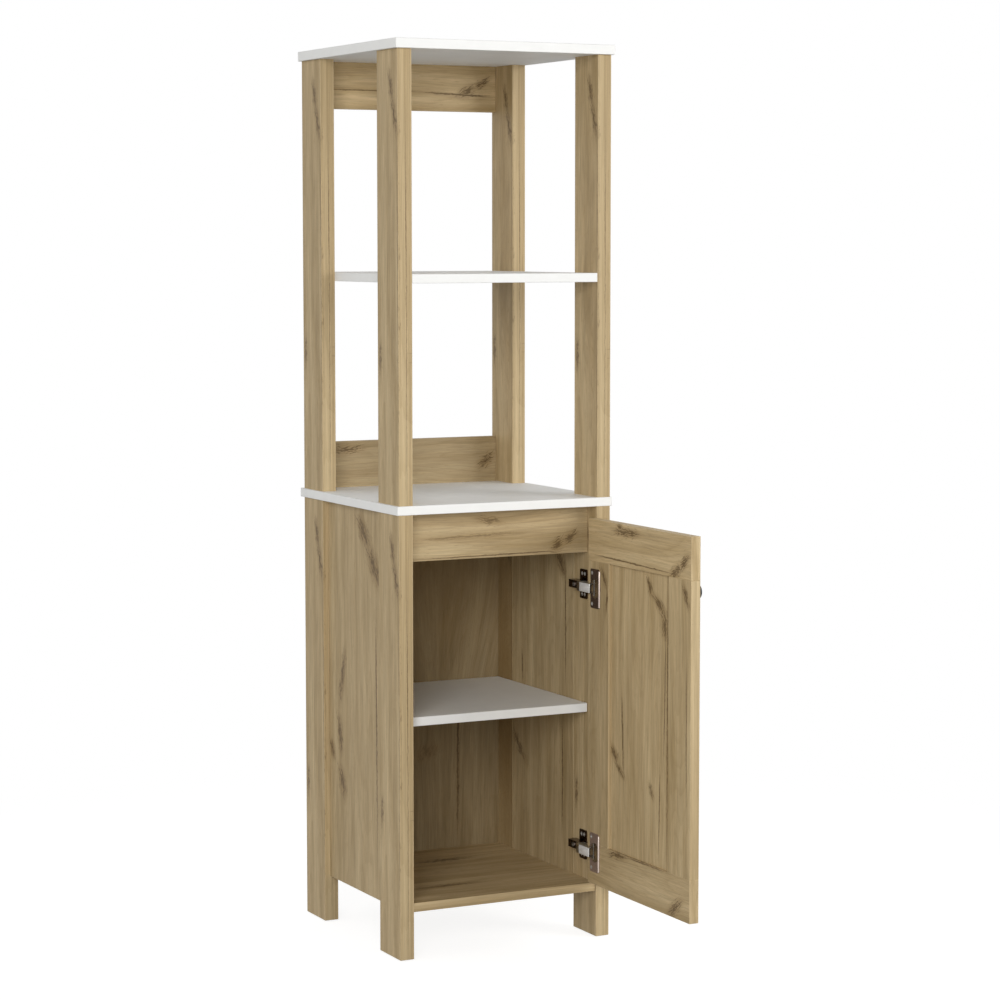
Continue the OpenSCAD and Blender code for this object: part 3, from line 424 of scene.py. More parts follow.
def figure_group(oak):
    """Figure of flat-sawn oak: bands, arched growth lines, streaks, fibres and pores, along X, in mm."""
    tree, given = new_group("Oak figure", [("Grain", "Vector")], [("Color", "Color"), ("Height", "Float")])
    band = 1 / (oak.band * MM)
    fibre = 1 / (oak.fibre * MM)
    # Slow wander of the grain, over about 300 mm along it and by up to 16 mm across it
    slow = add(tree, "VectorMath", {"operation": "MULTIPLY"},
               {0: given["Grain"], 1: (1 / 300, 1 / 60, 1 / 60)})
    wander = add(tree, "TexNoise", {}, {"Vector": slow.outputs[0], "Scale": 1, "Detail": 1})
    shift = add(tree, "VectorMath", {"operation": "MULTIPLY_ADD"},
                {0: wander.outputs["Color"], 1: (0, 16, 16), 2: given["Grain"]})
    # Pale and dark bands
    wide = add(tree, "VectorMath", {"operation": "MULTIPLY"},
               {0: shift.outputs[0], 1: (1 / 330, band, band)})
    bands = add(tree, "TexNoise", {}, {"Vector": wide.outputs[0], "Scale": 1, "Detail": 3, "Roughness": 0.6})
    # Growth lines are the contours of a slow field, so they run straight or close in long arches. There are
    # 17 of them from the field's lowest value to its highest
    field = add(tree, "VectorMath", {"operation": "MULTIPLY"},
                {0: shift.outputs[0], 1: (1 / 500, 1 / 60, 1 / 60)})
    rings = add(tree, "TexNoise", {}, {"Vector": field.outputs[0], "Scale": 1, "Detail": 0.6})
    saw = add(tree, "Math", {"operation": "MULTIPLY"}, {0: rings.outputs["Fac"], 1: 17})
    turn = add(tree, "Math", {"operation": "FRACT"}, {0: saw.outputs[0]})
    line = add(tree, "MapRange", {"interpolation_type": "SMOOTHSTEP"},
               {"Value": turn.outputs[0], "From Min": 0.6, "From Max": 0.97})
    # Soft streaks a few millimetres wide, fibres, and short dark pores between them
    soft = add(tree, "VectorMath", {"operation": "MULTIPLY"},
               {0: shift.outputs[0], 1: (1 / 200, 0.27 * fibre, 0.27 * fibre)})
    streaks = add(tree, "TexNoise", {},
                  {"Vector": soft.outputs[0], "Scale": 1, "Detail": 2, "Roughness": 0.6})
    thin = add(tree, "VectorMath", {"operation": "MULTIPLY"},
               {0: shift.outputs[0], 1: (1 / 70, fibre, fibre)})
    fibres = add(tree, "TexNoise", {}, {"Vector": thin.outputs[0], "Scale": 1, "Detail": 2, "Roughness": 0.7})
    short = add(tree, "VectorMath", {"operation": "MULTIPLY"},
                {0: shift.outputs[0], 1: (1 / 14, 1.3 * fibre, 1.3 * fibre)})
    dashes = add(tree, "TexNoise", {}, {"Vector": short.outputs[0], "Scale": 1, "Detail": 1})
    pores = add(tree, "MapRange", {"interpolation_type": "SMOOTHSTEP"},
                {"Value": dashes.outputs["Fac"], "From Min": 0.62, "From Max": 0.72})
    # Colour
    tone = add(tree, "ValToRGB", {}, {"Fac": bands.outputs["Fac"]})
    ramp = tone.color_ramp
    ramp.elements[0].position = 0.14
    ramp.elements[0].color = oak.dark
    ramp.elements[1].position = 0.86
    ramp.elements[1].color = oak.light
    ramp.elements.new(0.5).color = oak.middle
    ringed = add(tree, "Math", {"operation": "MULTIPLY"}, {0: line.outputs[0], 1: 0.16})
    lined = add(tree, "Mix", {"data_type": "RGBA"},
                {0: ringed.outputs[0], 6: tone.outputs["Color"], 7: oak.dark})
    both = add(tree, "Math", {"operation": "MULTIPLY_ADD"},
               {0: streaks.outputs["Fac"], 1: 0.5, 2: fibres.outputs["Fac"]})
    spread = add(tree, "MapRange", {},
                 {"Value": both.outputs[0], "From Min": 0.4, "From Max": 1.1, "To Min": 0.76, "To Max": 1.24})
    streaked = add(tree, "VectorMath", {"operation": "SCALE"},
                   {0: lined.outputs[2], "Scale": spread.outputs[0]})
    poring = add(tree, "Math", {"operation": "MULTIPLY"}, {0: pores.outputs[0], 1: 0.3})
    pored = add(tree, "Mix", {"data_type": "RGBA"},
                {0: poring.outputs[0], 6: streaked.outputs[0], 7: oak.dark})
    relief = add(tree, "Math", {"operation": "SUBTRACT"}, {0: fibres.outputs["Fac"], 1: pores.outputs[0]})
    close_group(tree, {"Color": pored.outputs[2], "Height": relief.outputs[0]})
    return tree


def split_group():
    """One split in the wood: a dark forked line in torn, flecked grain that the growth lines bend round.
    A split of no width only browns the grain."""
    # The same group also draws the painted shade lines and zones
    tree, given = new_group(
        "Split in the oak",
        [("Grain", "Vector"), ("Dark", "Float"), ("Torn grain and painted shade", "Float"), ("Place", "Vector"), ("Side", "Vector"),
         ("Deep", "Vector"), ("Length", "Float"), ("Torn", "Float"), ("Width", "Float"), ("Slant", "Float"),
         ("Tint", "Float"), ("Shape", "Float")],
        [("Grain", "Vector"), ("Dark", "Float"), ("Torn grain and painted shade", "Float")],
    )
    away = add(tree, "VectorMath", {"operation": "SUBTRACT"}, {0: given["Grain"], 1: given["Place"]})
    along = add(tree, "SeparateXYZ", {}, {0: away.outputs[0]}).outputs["X"]
    across = add(tree, "VectorMath", {"operation": "DOT_PRODUCT"}, {0: away.outputs[0], 1: given["Side"]})
    deep = add(tree, "VectorMath", {"operation": "DOT_PRODUCT"}, {0: away.outputs[0], 1: given["Deep"]})
    lean = add(tree, "Math", {"operation": "MULTIPLY"}, {0: along, 1: given["Slant"]})
    upright = add(tree, "Math", {"operation": "SUBTRACT"}, {0: across.outputs["Value"], 1: lean.outputs[0]})
    # The split's area is an ellipsoid
    parts = add(tree, "CombineXYZ", {}, {"X": along, "Y": upright.outputs[0], "Z": deep.outputs["Value"]})
    reach = add(tree, "CombineXYZ", {}, {"X": given["Length"], "Y": given["Torn"], "Z": SPLIT_DEPTH})
    share = add(tree, "VectorMath", {"operation": "DIVIDE"}, {0: parts.outputs[0], 1: reach.outputs[0]})
    radius = add(tree, "VectorMath", {"operation": "LENGTH"}, {0: share.outputs[0]})
    area = add(tree, "MapRange", {"interpolation_type": "SMOOTHSTEP"},
               {"Value": radius.outputs["Value"], "From Min": 0.1, "From Max": 1.4, "To Min": 1, "To Max": 0})
    run = add(tree, "Math", {"operation": "DIVIDE"}, {0: along, 1: given["Length"]})
    ends = add(tree, "Math", {"operation": "ABSOLUTE"}, {0: run.outputs[0]})
    taper = add(tree, "MapRange", {"interpolation_type": "SMOOTHSTEP"},
                {"Value": ends.outputs[0], "From Min": 0.3, "From Max": 1.05, "To Min": 1, "To Max": 0})
    depth = add(tree, "Math", {"operation": "ABSOLUTE"}, {0: deep.outputs["Value"]})
    near = add(tree, "MapRange", {},
               {"Value": depth.outputs[0], "From Min": SPLIT_DEPTH - 3, "From Max": SPLIT_DEPTH,
                "To Min": 1, "To Max": 0})
    # The split wanders, and forks from its middle on
    step = add(tree, "Math", {"operation": "MULTIPLY_ADD"}, {0: along, 1: 0.035, 2: given["Shape"]})
    wave = add(tree, "TexNoise", {"noise_dimensions": "1D"},
               {"W": step.outputs[0], "Scale": 1, "Detail": 3, "Roughness": 0.6})
    swing = add(tree, "Math", {"operation": "SUBTRACT"}, {0: wave.outputs["Fac"], 1: 0.5})
    swung = add(tree, "Math", {"operation": "MULTIPLY"}, {0: swing.outputs[0], 1: given["Torn"]})
    off = add(tree, "Math", {"operation": "SUBTRACT"}, {0: upright.outputs[0], 1: swung.outputs[0]})
    gap = add(tree, "Math", {"operation": "ABSOLUTE"}, {0: off.outputs[0]})
    half = add(tree, "Math", {"operation": "MAXIMUM"}, {0: run.outputs[0], 1: 0.0})
    apart = add(tree, "Math", {"operation": "MULTIPLY"}, {0: half.outputs[0], 1: given["Torn"]})
    second = add(tree, "Math", {"operation": "ADD"}, {0: off.outputs[0], 1: apart.outputs[0]})
    forked = add(tree, "Math", {"operation": "ABSOLUTE"}, {0: second.outputs[0]})
    nearest = add(tree, "Math", {"operation": "MINIMUM"}, {0: gap.outputs[0], 1: forked.outputs[0]})
    rough = add(tree, "TexNoise", {"noise_dimensions": "1D"},
                {"W": step.outputs[0], "Scale": 6, "Detail": 2})
    # A long fine line is even, and a wide split is broken up
    least = add(tree, "MapRange", {},
                {"Value": given["Torn"], "From Min": 1, "From Max": 8, "To Min": 0.8, "To Max": 0.1})
    swell = add(tree, "MapRange", {},
                {"Value": rough.outputs["Fac"], "From Min": 0.3, "From Max": 0.7, "To Min": least.outputs[0],
                 "To Max": 1.2})
    full = add(tree, "Math", {"operation": "MULTIPLY"}, {0: swell.outputs[0], 1: given["Width"]})
    wide = add(tree, "Math", {"operation": "MULTIPLY_ADD"},
               {0: full.outputs[0], 1: taper.outputs[0], 2: 0.03})
    ratio = add(tree, "Math", {"operation": "DIVIDE"}, {0: nearest.outputs[0], 1: wide.outputs[0]})
    core = add(tree, "MapRange", {"interpolation_type": "SMOOTHSTEP"},
               {"Value": ratio.outputs[0], "From Min": 0.2, "From Max": 1.1, "To Min": 1, "To Max": 0})
    # Torn grain round it, in short flecks that thin out
    place = add(tree, "CombineXYZ", {},
                {"X": step.outputs[0], "Y": off.outputs[0], "Z": deep.outputs["Value"]})
    fine = add(tree, "VectorMath", {"operation": "MULTIPLY"}, {0: place.outputs[0], 1: (2.2, 0.42, 0.42)})
    noise = add(tree, "TexNoise", {}, {"Vector": fine.outputs[0], "Scale": 1, "Detail": 2, "Roughness": 0.6})
    level = add(tree, "Math", {"operation": "MULTIPLY_ADD"},
                {0: radius.outputs["Value"], 1: -0.2, 2: noise.outputs["Fac"]})
    flecks = add(tree, "MapRange", {"interpolation_type": "SMOOTHSTEP"},
                 {"Value": level.outputs[0], "From Min": 0.35, "From Max": 0.5, "To Max": 0.9})
    strength = add(tree, "Math", {"operation": "MINIMUM"}, {0: given["Width"], 1: 1.0})
    torn = add(tree, "Math", {"operation": "MULTIPLY"}, {0: flecks.outputs[0], 1: strength.outputs[0]})
    thinned = add(tree, "Math", {"operation": "MULTIPLY"}, {0: torn.outputs[0], 1: taper.outputs[0]})
    dark = add(tree, "Math", {"operation": "MAXIMUM"}, {0: core.outputs[0], 1: thinned.outputs[0]})
    shown = add(tree, "Math", {"operation": "MULTIPLY"}, {0: dark.outputs[0], 1: near.outputs[0]})
    darkest = add(tree, "Math", {"operation": "MAXIMUM"}, {0: shown.outputs[0], 1: given["Dark"]})
    tinted = add(tree, "Math", {"operation": "MULTIPLY"}, {0: area.outputs[0], 1: given["Tint"]})
    mottle = add(tree, "MapRange", {}, {"Value": noise.outputs["Fac"], "To Min": 0.5, "To Max": 1.3})
    mottled = add(tree, "Math", {"operation": "MULTIPLY"}, {0: tinted.outputs[0], 1: mottle.outputs[0]})
    torn_grain_and_painted_shade = add(tree, "Math", {"operation": "MAXIMUM"}, {0: mottled.outputs[0], 1: given["Torn grain and painted shade"]})
    # Growth lines are pushed apart round the split
    push = add(tree, "Math", {"operation": "MULTIPLY"}, {0: area.outputs[0], 1: -0.6})
    moved = add(tree, "Math", {"operation": "MULTIPLY"}, {0: push.outputs[0], 1: upright.outputs[0]})
    bend = add(tree, "VectorMath", {"operation": "SCALE"}, {0: given["Side"], "Scale": moved.outputs[0]})
    bent = add(tree, "VectorMath", {"operation": "ADD"}, {0: given["Grain"], 1: bend.outputs[0]})
    close_group(tree, {"Grain": bent.outputs[0], "Dark": darkest.outputs[0], "Torn grain and painted shade": torn_grain_and_painted_shade.outputs[0]})
    return tree


def new_material(name):
    """An empty node material, and its node tree."""
    material = bpy.data.materials.new(name)
    material.use_nodes = True
    material.node_tree.nodes.clear()
    return material, material.node_tree


def close_material(tree, inputs):
    """Adds the Principled shader, with these sockets and values on its inputs, and the output."""
    shader = add(tree, "BsdfPrincipled", {}, inputs)
    add(tree, "OutputMaterial", {}, {"Surface": shader.outputs[0]})


def corners(name):
    """The lowest and highest corners of a CAD node or of a new piece."""
    if name in NODES:
        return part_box(name)
    points = [vertex.co for vertex in bpy.data.objects[name].data.vertices]
    low = Vector([min(point[i] for point in points) for i in range(3)])
    high = Vector([max(point[i] for point in points) for i in range(3)])
    return low, high


def dress(name, material):
    """Gives a CAD node or a new piece one material all over."""
    piece = NODES[name] if name in NODES else bpy.data.objects[name]
    piece.data.materials.clear()
    piece.data.materials.append(material)


def grain_turn(grain):
    """The turn that brings the grain onto X and the thickness onto Z, from two letters such as ZX."""
    along, through = AXES[grain[0]], AXES[grain[1]]
    return Matrix((along, through.cross(along), through))


def centred(tree, node, grain):
    """Object coordinates in millimetres from the node's middle, turned so that X runs along the grain."""
    low, high = corners(node)
    turn = grain_turn(grain)
    place = add(tree, "TexCoord")
    return add(tree, "Mapping", {}, {
        "Vector": place.outputs["Object"], "Location": turn @ (low + high) / -2 * MM,
        "Rotation": turn.to_euler(), "Scale": (MM, MM, MM),
    })


def arris_mask(tree, node, grain, place, width):
    """1 along a board's edges, within this many millimetres of both faces, and 0 elsewhere."""
    low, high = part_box(node)
    half = grain_turn(grain) @ ((high - low) / 2 * MM)
    inside = add(tree, "VectorMath", {"operation": "ABSOLUTE"}, {0: place.outputs[0]})
    parts = add(tree, "SeparateXYZ", {}, {0: inside.outputs[0]}).outputs
    count = None
    for axis, reach in zip("XYZ", half):
        close = add(tree, "Math", {"operation": "GREATER_THAN"}, {0: parts[axis], 1: abs(reach) - width})
        if count is None:
            count = close
        else:
            count = add(tree, "Math", {"operation": "ADD"}, {0: count.outputs[0], 1: close.outputs[0]})
    return add(tree, "Math", {"operation": "GREATER_THAN"}, {0: count.outputs[0], 1: 1.5})


def add_split(tree, split, turn, middle, mark, sockets):
    """Adds one split, given in the cabinet's frame, and returns its grain, dark and halo sockets."""
    face, start, end, torn, width, tint, shape = mark
    run = turn @ (Vector(end) - Vector(start))
    deep = turn @ AXES[face]
    side = deep.cross(Vector((1, 0, 0)))
    centre = turn @ ((Vector(start) + Vector(end)) / 2 - middle)
    grain, dark, torn_grain_and_painted_shade = sockets
    node = add(tree, "Group", {"node_tree": split}, {
        "Grain": grain, "Dark": dark, "Torn grain and painted shade": torn_grain_and_painted_shade, "Place": centre, "Side": side, "Deep": deep,
        "Length": abs(run.x) / 2, "Torn": torn, "Width": width, "Slant": run.dot(side) / run.x,
        "Tint": tint, "Shape": shape,
    })
    return node.outputs[0], node.outputs[1], node.outputs[2]


def facing(tree, letter):
    """How squarely each face looks along one of the cabinet's axes, from 0 to 1."""
    normal = add(tree, "TexCoord").outputs["Normal"]
    along = add(tree, "VectorMath", {"operation": "DOT_PRODUCT"}, {0: normal, 1: AXES[letter]})
    return add(tree, "Math", {"operation": "ABSOLUTE"}, {0: along.outputs["Value"]}).outputs[0]


def print_on_faces(tree, grain, board):
    """Where in the print each point lies: the two wide faces have the board's own print, and the narrow
    sides have the edging's, which runs along the edge across the board's ends too."""
    straight = add(tree, "VectorMath", {"operation": "MULTIPLY_ADD"},
                   {0: board, 1: EDGING_SQUEEZE, 2: EDGING_SHIFT})
    parts = add(tree, "SeparateXYZ", {}, {0: straight.outputs[0]}).outputs
    crossed = add(tree, "CombineXYZ", {}, {"X": parts["Y"], "Y": parts["Z"], "Z": parts["X"]})
    narrow = add(tree, "Math", {"operation": "LESS_THAN"}, {0: facing(tree, grain[1]), 1: SQUARE_ON})
    faced = add(tree, "Mix", {"data_type": "VECTOR"},
                {0: narrow.outputs[0], 4: board, 5: straight.outputs[0]})
    end = add(tree, "Math", {"operation": "GREATER_THAN"}, {0: facing(tree, grain[0]), 1: SQUARE_ON})
    printed = add(tree, "Mix", {"data_type": "VECTOR"},
                  {0: end.outputs[0], 4: faced.outputs[1], 5: crossed.outputs[0]})
    return printed.outputs[1]


def oak_laminate(node, grain, tone, splits, shift, oak, figure, split):
    """Printed oak laminate on chipboard: it has the colour and lines of knotty oak but a smooth, even,
    slightly satin surface, with the pores pressed in only a few hundredths of a millimetre."""
    material, tree = new_material("oak_laminate_" + node)
    low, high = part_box(node)
    middle = (low + high) / 2 * MM
    turn = grain_turn(grain)
    place = centred(tree, node, grain)
    sockets = (place.outputs[0], 0.0, 0.0)
    for mark in splits:
        sockets = add_split(tree, split, turn, middle, mark, sockets)
    bent, dark, torn_grain_and_painted_shade = sockets
    board = add(tree, "VectorMath", {"operation": "ADD"}, {0: bent, 1: shift})
    wood = add(tree, "Group", {"node_tree": figure},
               {"Grain": print_on_faces(tree, grain, board.outputs[0])})
    toned = add(tree, "VectorMath", {"operation": "SCALE"}, {0: wood.outputs["Color"], "Scale": tone})
    # Brown torn grain and the painted shade zones, and then the splits and the painted shade lines themselves
    tinged = add(tree, "Math", {"operation": "MULTIPLY"}, {0: torn_grain_and_painted_shade, 1: 0.7})
    torn = add(tree, "Mix", {"data_type": "RGBA"}, {0: tinged.outputs[0], 6: toned.outputs[0], 7: oak.torn_grain_and_painted_shade})
    cut = add(tree, "Math", {"operation": "MULTIPLY"}, {0: dark, 1: 0.72})
    open_split_and_painted_shade = add(tree, "Mix", {"data_type": "RGBA"},
                     {0: cut.outputs[0], 6: torn.outputs[2], 7: oak.split})
    # The film is stretched a little paler where it turns over the arris
    arris = arris_mask(tree, node, grain, place, 0.7)
    worn = add(tree, "Math", {"operation": "MULTIPLY"}, {0: arris.outputs[0], 1: 0.3})
    edged = add(tree, "Mix", {"data_type": "RGBA"},
                {0: worn.outputs[0], 6: open_split_and_painted_shade.outputs[2], 7: oak.light})
    relief = add(tree, "Math", {"operation": "SUBTRACT"}, {0: wood.outputs["Height"], 1: dark})
    bump = add(tree, "Bump", {}, {"Strength": 0.5, "Distance": 0.00012, "Height": relief.outputs[0]})
    gloss = add(tree, "MapRange", {}, {"Value": wood.outputs["Height"], "From Min": -0.5, "From Max": 0.8,
                                       "To Min": 0.66, "To Max": 0.52})
    close_material(tree, {"Base Color": edged.outputs[2], "Roughness": gloss.outputs[0],
                          "Normal": bump.outputs[0], "Specular IOR Level": 0.25})
    dress(node, material)


def white_melamine(node, white):
    """White melamine-faced chipboard with ABS edging: a smooth white with a fine pearl grain pressed into
    it, hardly any cloud, and a hair-thin grey line where the edging is glued on."""
    material, tree = new_material("white_melamine_" + node)
    place = centred(tree, node, "XY")
    cloud = add(tree, "TexNoise", {},
                {"Vector": place.outputs[0], "Scale": 0.03, "Detail": 3, "Roughness": 0.6})
    tint = add(tree, "Mix", {"data_type": "RGBA"}, {0: cloud.outputs["Fac"], 6: white.board, 7: white.shade})
    joint = arris_mask(tree, node, "XY", place, 0.65)
    faint = add(tree, "Math", {"operation": "MULTIPLY"}, {0: joint.outputs[0], 1: 0.5})
    edged = add(tree, "Mix", {"data_type": "RGBA"}, {0: faint.outputs[0], 6: tint.outputs[2], 7: white.joint})
    # The real pearl grain is 0.3 mm wide; it is drawn at 1.2 mm so that it shows
    pearl = add(tree, "TexNoise", {},
                {"Vector": place.outputs[0], "Scale": 1 / 1.2, "Detail": 2, "Roughness": 0.5})
    bump = add(tree, "Bump", {}, {"Strength": 0.35, "Distance": 0.00008, "Height": pearl.outputs["Fac"]})
    gloss = add(tree, "MapRange", {}, {"Value": cloud.outputs["Fac"], "From Min": 0.3, "From Max": 0.7,
                                       "To Min": 0.52, "To Max": 0.62})
    close_material(tree, {"Base Color": edged.outputs[2], "Roughness": gloss.outputs[0],
                          "Normal": bump.outputs[0], "Specular IOR Level": 0.2})
    dress(node, material)


def plated_steel(name, node, grain, colour, roughness, streak, metallic, lining=None):
    """Pressed steel with a plated finish: soft drawn streaks along the strip it was pressed from, and
    slightly cloudy where it was handled. A bright plating looks paler than bare metal, so it is only partly
    metallic. A hinge's cup is brassy inside, deeper than the face of the door."""
    material, tree = new_material(name + "_" + node)
    place = centred(tree, node, grain)
    # Drawn streaks are 0.3 mm wide, and a few millimetres long
    drawn = add(tree, "VectorMath", {"operation": "MULTIPLY"}, {0: place.outputs[0], 1: (1 / streak, 3, 3)})
    streaks = add(tree, "TexNoise", {},
                  {"Vector": drawn.outputs[0], "Scale": 1, "Detail": 3, "Roughness": 0.6})
    cloud = add(tree, "TexNoise", {}, {"Vector": place.outputs[0], "Scale": 0.16, "Detail": 2})
    both = add(tree, "Math", {"operation": "ADD"}, {0: streaks.outputs["Fac"], 1: cloud.outputs["Fac"]})
    level = add(tree, "MapRange", {}, {"Value": both.outputs[0], "From Min": 0.6, "From Max": 1.4,
                                       "To Min": 0.84, "To Max": 1.1})
    plating = tuple(colour)[:3]
    if lining is not None:
        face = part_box("door_stile_hinge")[0].x + 0.0004
        inside = add(tree, "SeparateXYZ", {}, {0: add(tree, "TexCoord").outputs["Object"]})
        deeper = add(tree, "Math", {"operation": "GREATER_THAN"}, {0: inside.outputs["X"], 1: face})
        lined = add(tree, "Mix", {"data_type": "RGBA"}, {0: deeper.outputs[0], 6: colour, 7: lining})
        plating = lined.outputs[2]
    tint = add(tree, "VectorMath", {"operation": "SCALE"}, {0: plating, "Scale": level.outputs[0]})
    gloss = add(tree, "MapRange", {}, {"Value": both.outputs[0], "From Min": 0.6, "From Max": 1.4,
                                       "To Min": roughness + 0.08, "To Max": roughness - 0.06})
    bump = add(tree, "Bump", {}, {"Strength": 0.3, "Distance": 0.00002, "Height": streaks.outputs["Fac"]})
    close_material(tree, {"Base Color": tint.outputs[0], "Roughness": gloss.outputs[0],
                          "Normal": bump.outputs[0], "Metallic": metallic})
    dress(node, material)


def beech_dowel(node, grain, colour):
    """Turned beech: pale pinkish wood with short brown flecks along the grain, and a matt cut surface."""
    material, tree = new_material("beech_" + node)
    place = centred(tree, node, grain)
    # Beech flecks are 3 mm long and 0.4 mm wide
    squeezed = add(tree, "VectorMath", {"operation": "MULTIPLY"}, {0: place.outputs[0], 1: (1 / 3, 2.5, 2.5)})
    flecks = add(tree, "TexNoise", {}, {"Vector": squeezed.outputs[0], "Scale": 1, "Detail": 2})
    level = add(tree, "MapRange", {}, {"Value": flecks.outputs["Fac"], "From Min": 0.3, "From Max": 0.7,
                                       "To Min": 1.05, "To Max": 0.8})
    tint = add(tree, "VectorMath", {"operation": "SCALE"}, {0: tuple(colour)[:3], "Scale": level.outputs[0]})
    bump = add(tree, "Bump", {}, {"Strength": 0.4, "Distance": 0.0001, "Height": flecks.outputs["Fac"]})
    close_material(tree, {"Base Color": tint.outputs[0], "Normal": bump.outputs[0], "Roughness": 0.7})
    dress(node, material)


def fine_grained(name, node, colour, roughness, grit, relief):
    """Powder paint or moulded plastic: one colour with an even fine grain that softens its highlights. The
    grit is in mm, and its relief in metres."""
    material, tree = new_material(name + "_" + node)
    place = centred(tree, node, "XY")
    grain = add(tree, "TexVoronoi", {}, {"Vector": place.outputs[0], "Scale": 1 / grit})
    cloud = add(tree, "TexNoise", {}, {"Vector": place.outputs[0], "Scale": 0.2, "Detail": 3})
    level = add(tree, "MapRange", {}, {"Value": cloud.outputs["Fac"], "From Min": 0.3, "From Max": 0.7,
                                       "To Min": 0.85, "To Max": 1.2})
    tint = add(tree, "VectorMath", {"operation": "SCALE"}, {0: tuple(colour)[:3], "Scale": level.outputs[0]})
    gloss = add(tree, "MapRange", {}, {"Value": grain.outputs["Distance"], "From Min": 0, "From Max": 0.8,
                                       "To Min": roughness - 0.05, "To Max": roughness + 0.1})
    bump = add(tree, "Bump", {}, {"Strength": 0.5, "Distance": relief, "Height": grain.outputs["Distance"]})
    close_material(tree, {"Base Color": tint.outputs[0], "Roughness": gloss.outputs[0],
                          "Normal": bump.outputs[0]})
    dress(node, material)


def zinc_plate(node, colour):
    """Zinc-plated steel and die-cast zinc: dull grey metal with the faint spangle of the plating."""
    material, tree = new_material("zinc_plate_" + node)
    place = centred(tree, node, "XY")
    # Spangles are about 2 mm wide
    spangle = add(tree, "TexVoronoi", {}, {"Vector": place.outputs[0], "Scale": 0.5})
    grey = add(tree, "SeparateColor", {}, {0: spangle.outputs["Color"]})
    level = add(tree, "MapRange", {}, {"Value": grey.outputs[0], "To Min": 0.86, "To Max": 1.08})
    tint = add(tree, "VectorMath", {"operation": "SCALE"}, {0: tuple(colour)[:3], "Scale": level.outputs[0]})
    gloss = add(tree, "MapRange", {}, {"Value": grey.outputs[0], "To Min": 0.36, "To Max": 0.52})
    close_material(tree, {"Base Color": tint.outputs[0], "Roughness": gloss.outputs[0], "Metallic": 1.0})
    dress(node, material)


def oak_groups(oak):
    """The two node groups that all oak shares, made when first asked for."""
    figure = bpy.data.node_groups.get("Oak figure") or figure_group(oak)
    split = bpy.data.node_groups.get("Split in the oak") or split_group()
    return figure, split


class CABINET_OT_uprights(bpy.types.Operator):
    """Dresses the four legs and the four posts in oak laminate, all cut from the same print"""

    bl_idname = "cabinet.uprights"
    bl_label = "Legs and posts"

    def execute(self, context):
        oak = context.scene.cabinet_oak
        figure, split = oak_groups(oak)
        for node in UPRIGHTS:
            low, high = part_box(node)
            middle = (low + high) / 2 * MM
            # The right-hand uprights also get their painted shade on their inner faces
            splits = [(face, middle + Vector(start), middle + Vector(end), *rest)
                      for face, start, end, *rest in UPRIGHT_SPLITS + UPRIGHT_PAINTED_SHADE.get(node, [])]
            oak_laminate(node, "ZX", UPRIGHT_TONE, splits, (0, 0, 0), oak, figure, split)
        return {"FINISHED"}


class CABINET_OT_boards(bpy.types.Operator):
    """Dresses the side, back and bottom panels and the rails in oak laminate"""

    bl_idname = "cabinet.boards"
    bl_label = "Oak boards"

    def execute(self, context):
        oak = context.scene.cabinet_oak
        figure, split = oak_groups(oak)
        for number, (node, (grain, tone)) in enumerate(OAK_BOARDS.items()):
            oak_laminate(node, grain, tone, MARKS_AND_PAINTED_SHADE[node], number * BOARD_STEP, oak, figure, split)
        return {"FINISHED"}


class CABINET_OT_door(bpy.types.Operator):
    """Dresses the door's frame and panel in oak laminate"""

    bl_idname = "cabinet.door"
    bl_label = "Door"

    def execute(self, context):
        oak = context.scene.cabinet_oak
        figure, split = oak_groups(oak)
        for number, (node, (grain, tone)) in enumerate(DOOR_BOARDS.items()):
            oak_laminate(node, grain, tone, MARKS_AND_PAINTED_SHADE[node], number * DOOR_STEP, oak, figure, split)
        return {"FINISHED"}


class CABINET_OT_white_boards(bpy.types.Operator):
    """Dresses the top, the counter and the two shelves in white melamine"""

    bl_idname = "cabinet.white_boards"
    bl_label = "White boards"

    def execute(self, context):
        for node in WHITE_BOARDS:
            white_melamine(node, context.scene.cabinet_white)
        return {"FINISHED"}


class CABINET_OT_hinges(bpy.types.Operator):
    """Gives the hinges, their screws and the shelf pegs their metal finishes"""

    bl_idname = "cabinet.hinges"
    bl_label = "Hinges"

    def execute(self, context):
        metal = context.scene.cabinet_hardware
        for node, grain in BRONZED.items():
            plated_steel("bronzed_steel", node, grain, metal.bronze, roughness=0.26, streak=6, metallic=1.0)
        # Fully metallic nickel shows the dark inside of the cupboard round the pale covers
        for node in LINKS:
            plated_steel("nickel_plate", node, "YX", metal.nickel, roughness=0.3, streak=5, metallic=1.0)
        plated_steel("dull_zinc", "hinge_pins", "ZX", metal.pins, roughness=0.45, streak=5, metallic=1.0)
        # The lower cup's plating is the paler of the two
        for node, colour in zip(CUPS, (metal.bronze, metal.worn)):
            plated_steel("bronzed_steel", node, "ZX", colour, roughness=0.42, streak=6, metallic=0.5,
                         lining=metal.lining)
        for node, grain in NICKELLED.items():
            plated_steel("nickel_plate", node, grain, metal.nickel, roughness=0.32, streak=5, metallic=0.6)
        return {"FINISHED"}


def deselect():
    """Nothing is selected, so that the next operator acts on its own piece only."""
    if bpy.context.object and bpy.context.object.mode != "OBJECT":
        bpy.ops.object.mode_set(mode="OBJECT")
    bpy.ops.object.select_all(action="DESELECT")


def pick_faces(piece, wanted):
    """Leaves edit mode on, with only the faces selected that the test picks."""
    bpy.ops.object.mode_set(mode="EDIT")
    bpy.ops.mesh.select_mode(type="FACE")
    bpy.ops.mesh.select_all(action="DESELECT")
    bpy.ops.object.mode_set(mode="OBJECT")
    for face in piece.data.polygons:
        face.select = wanted(face)
    bpy.ops.object.mode_set(mode="EDIT")


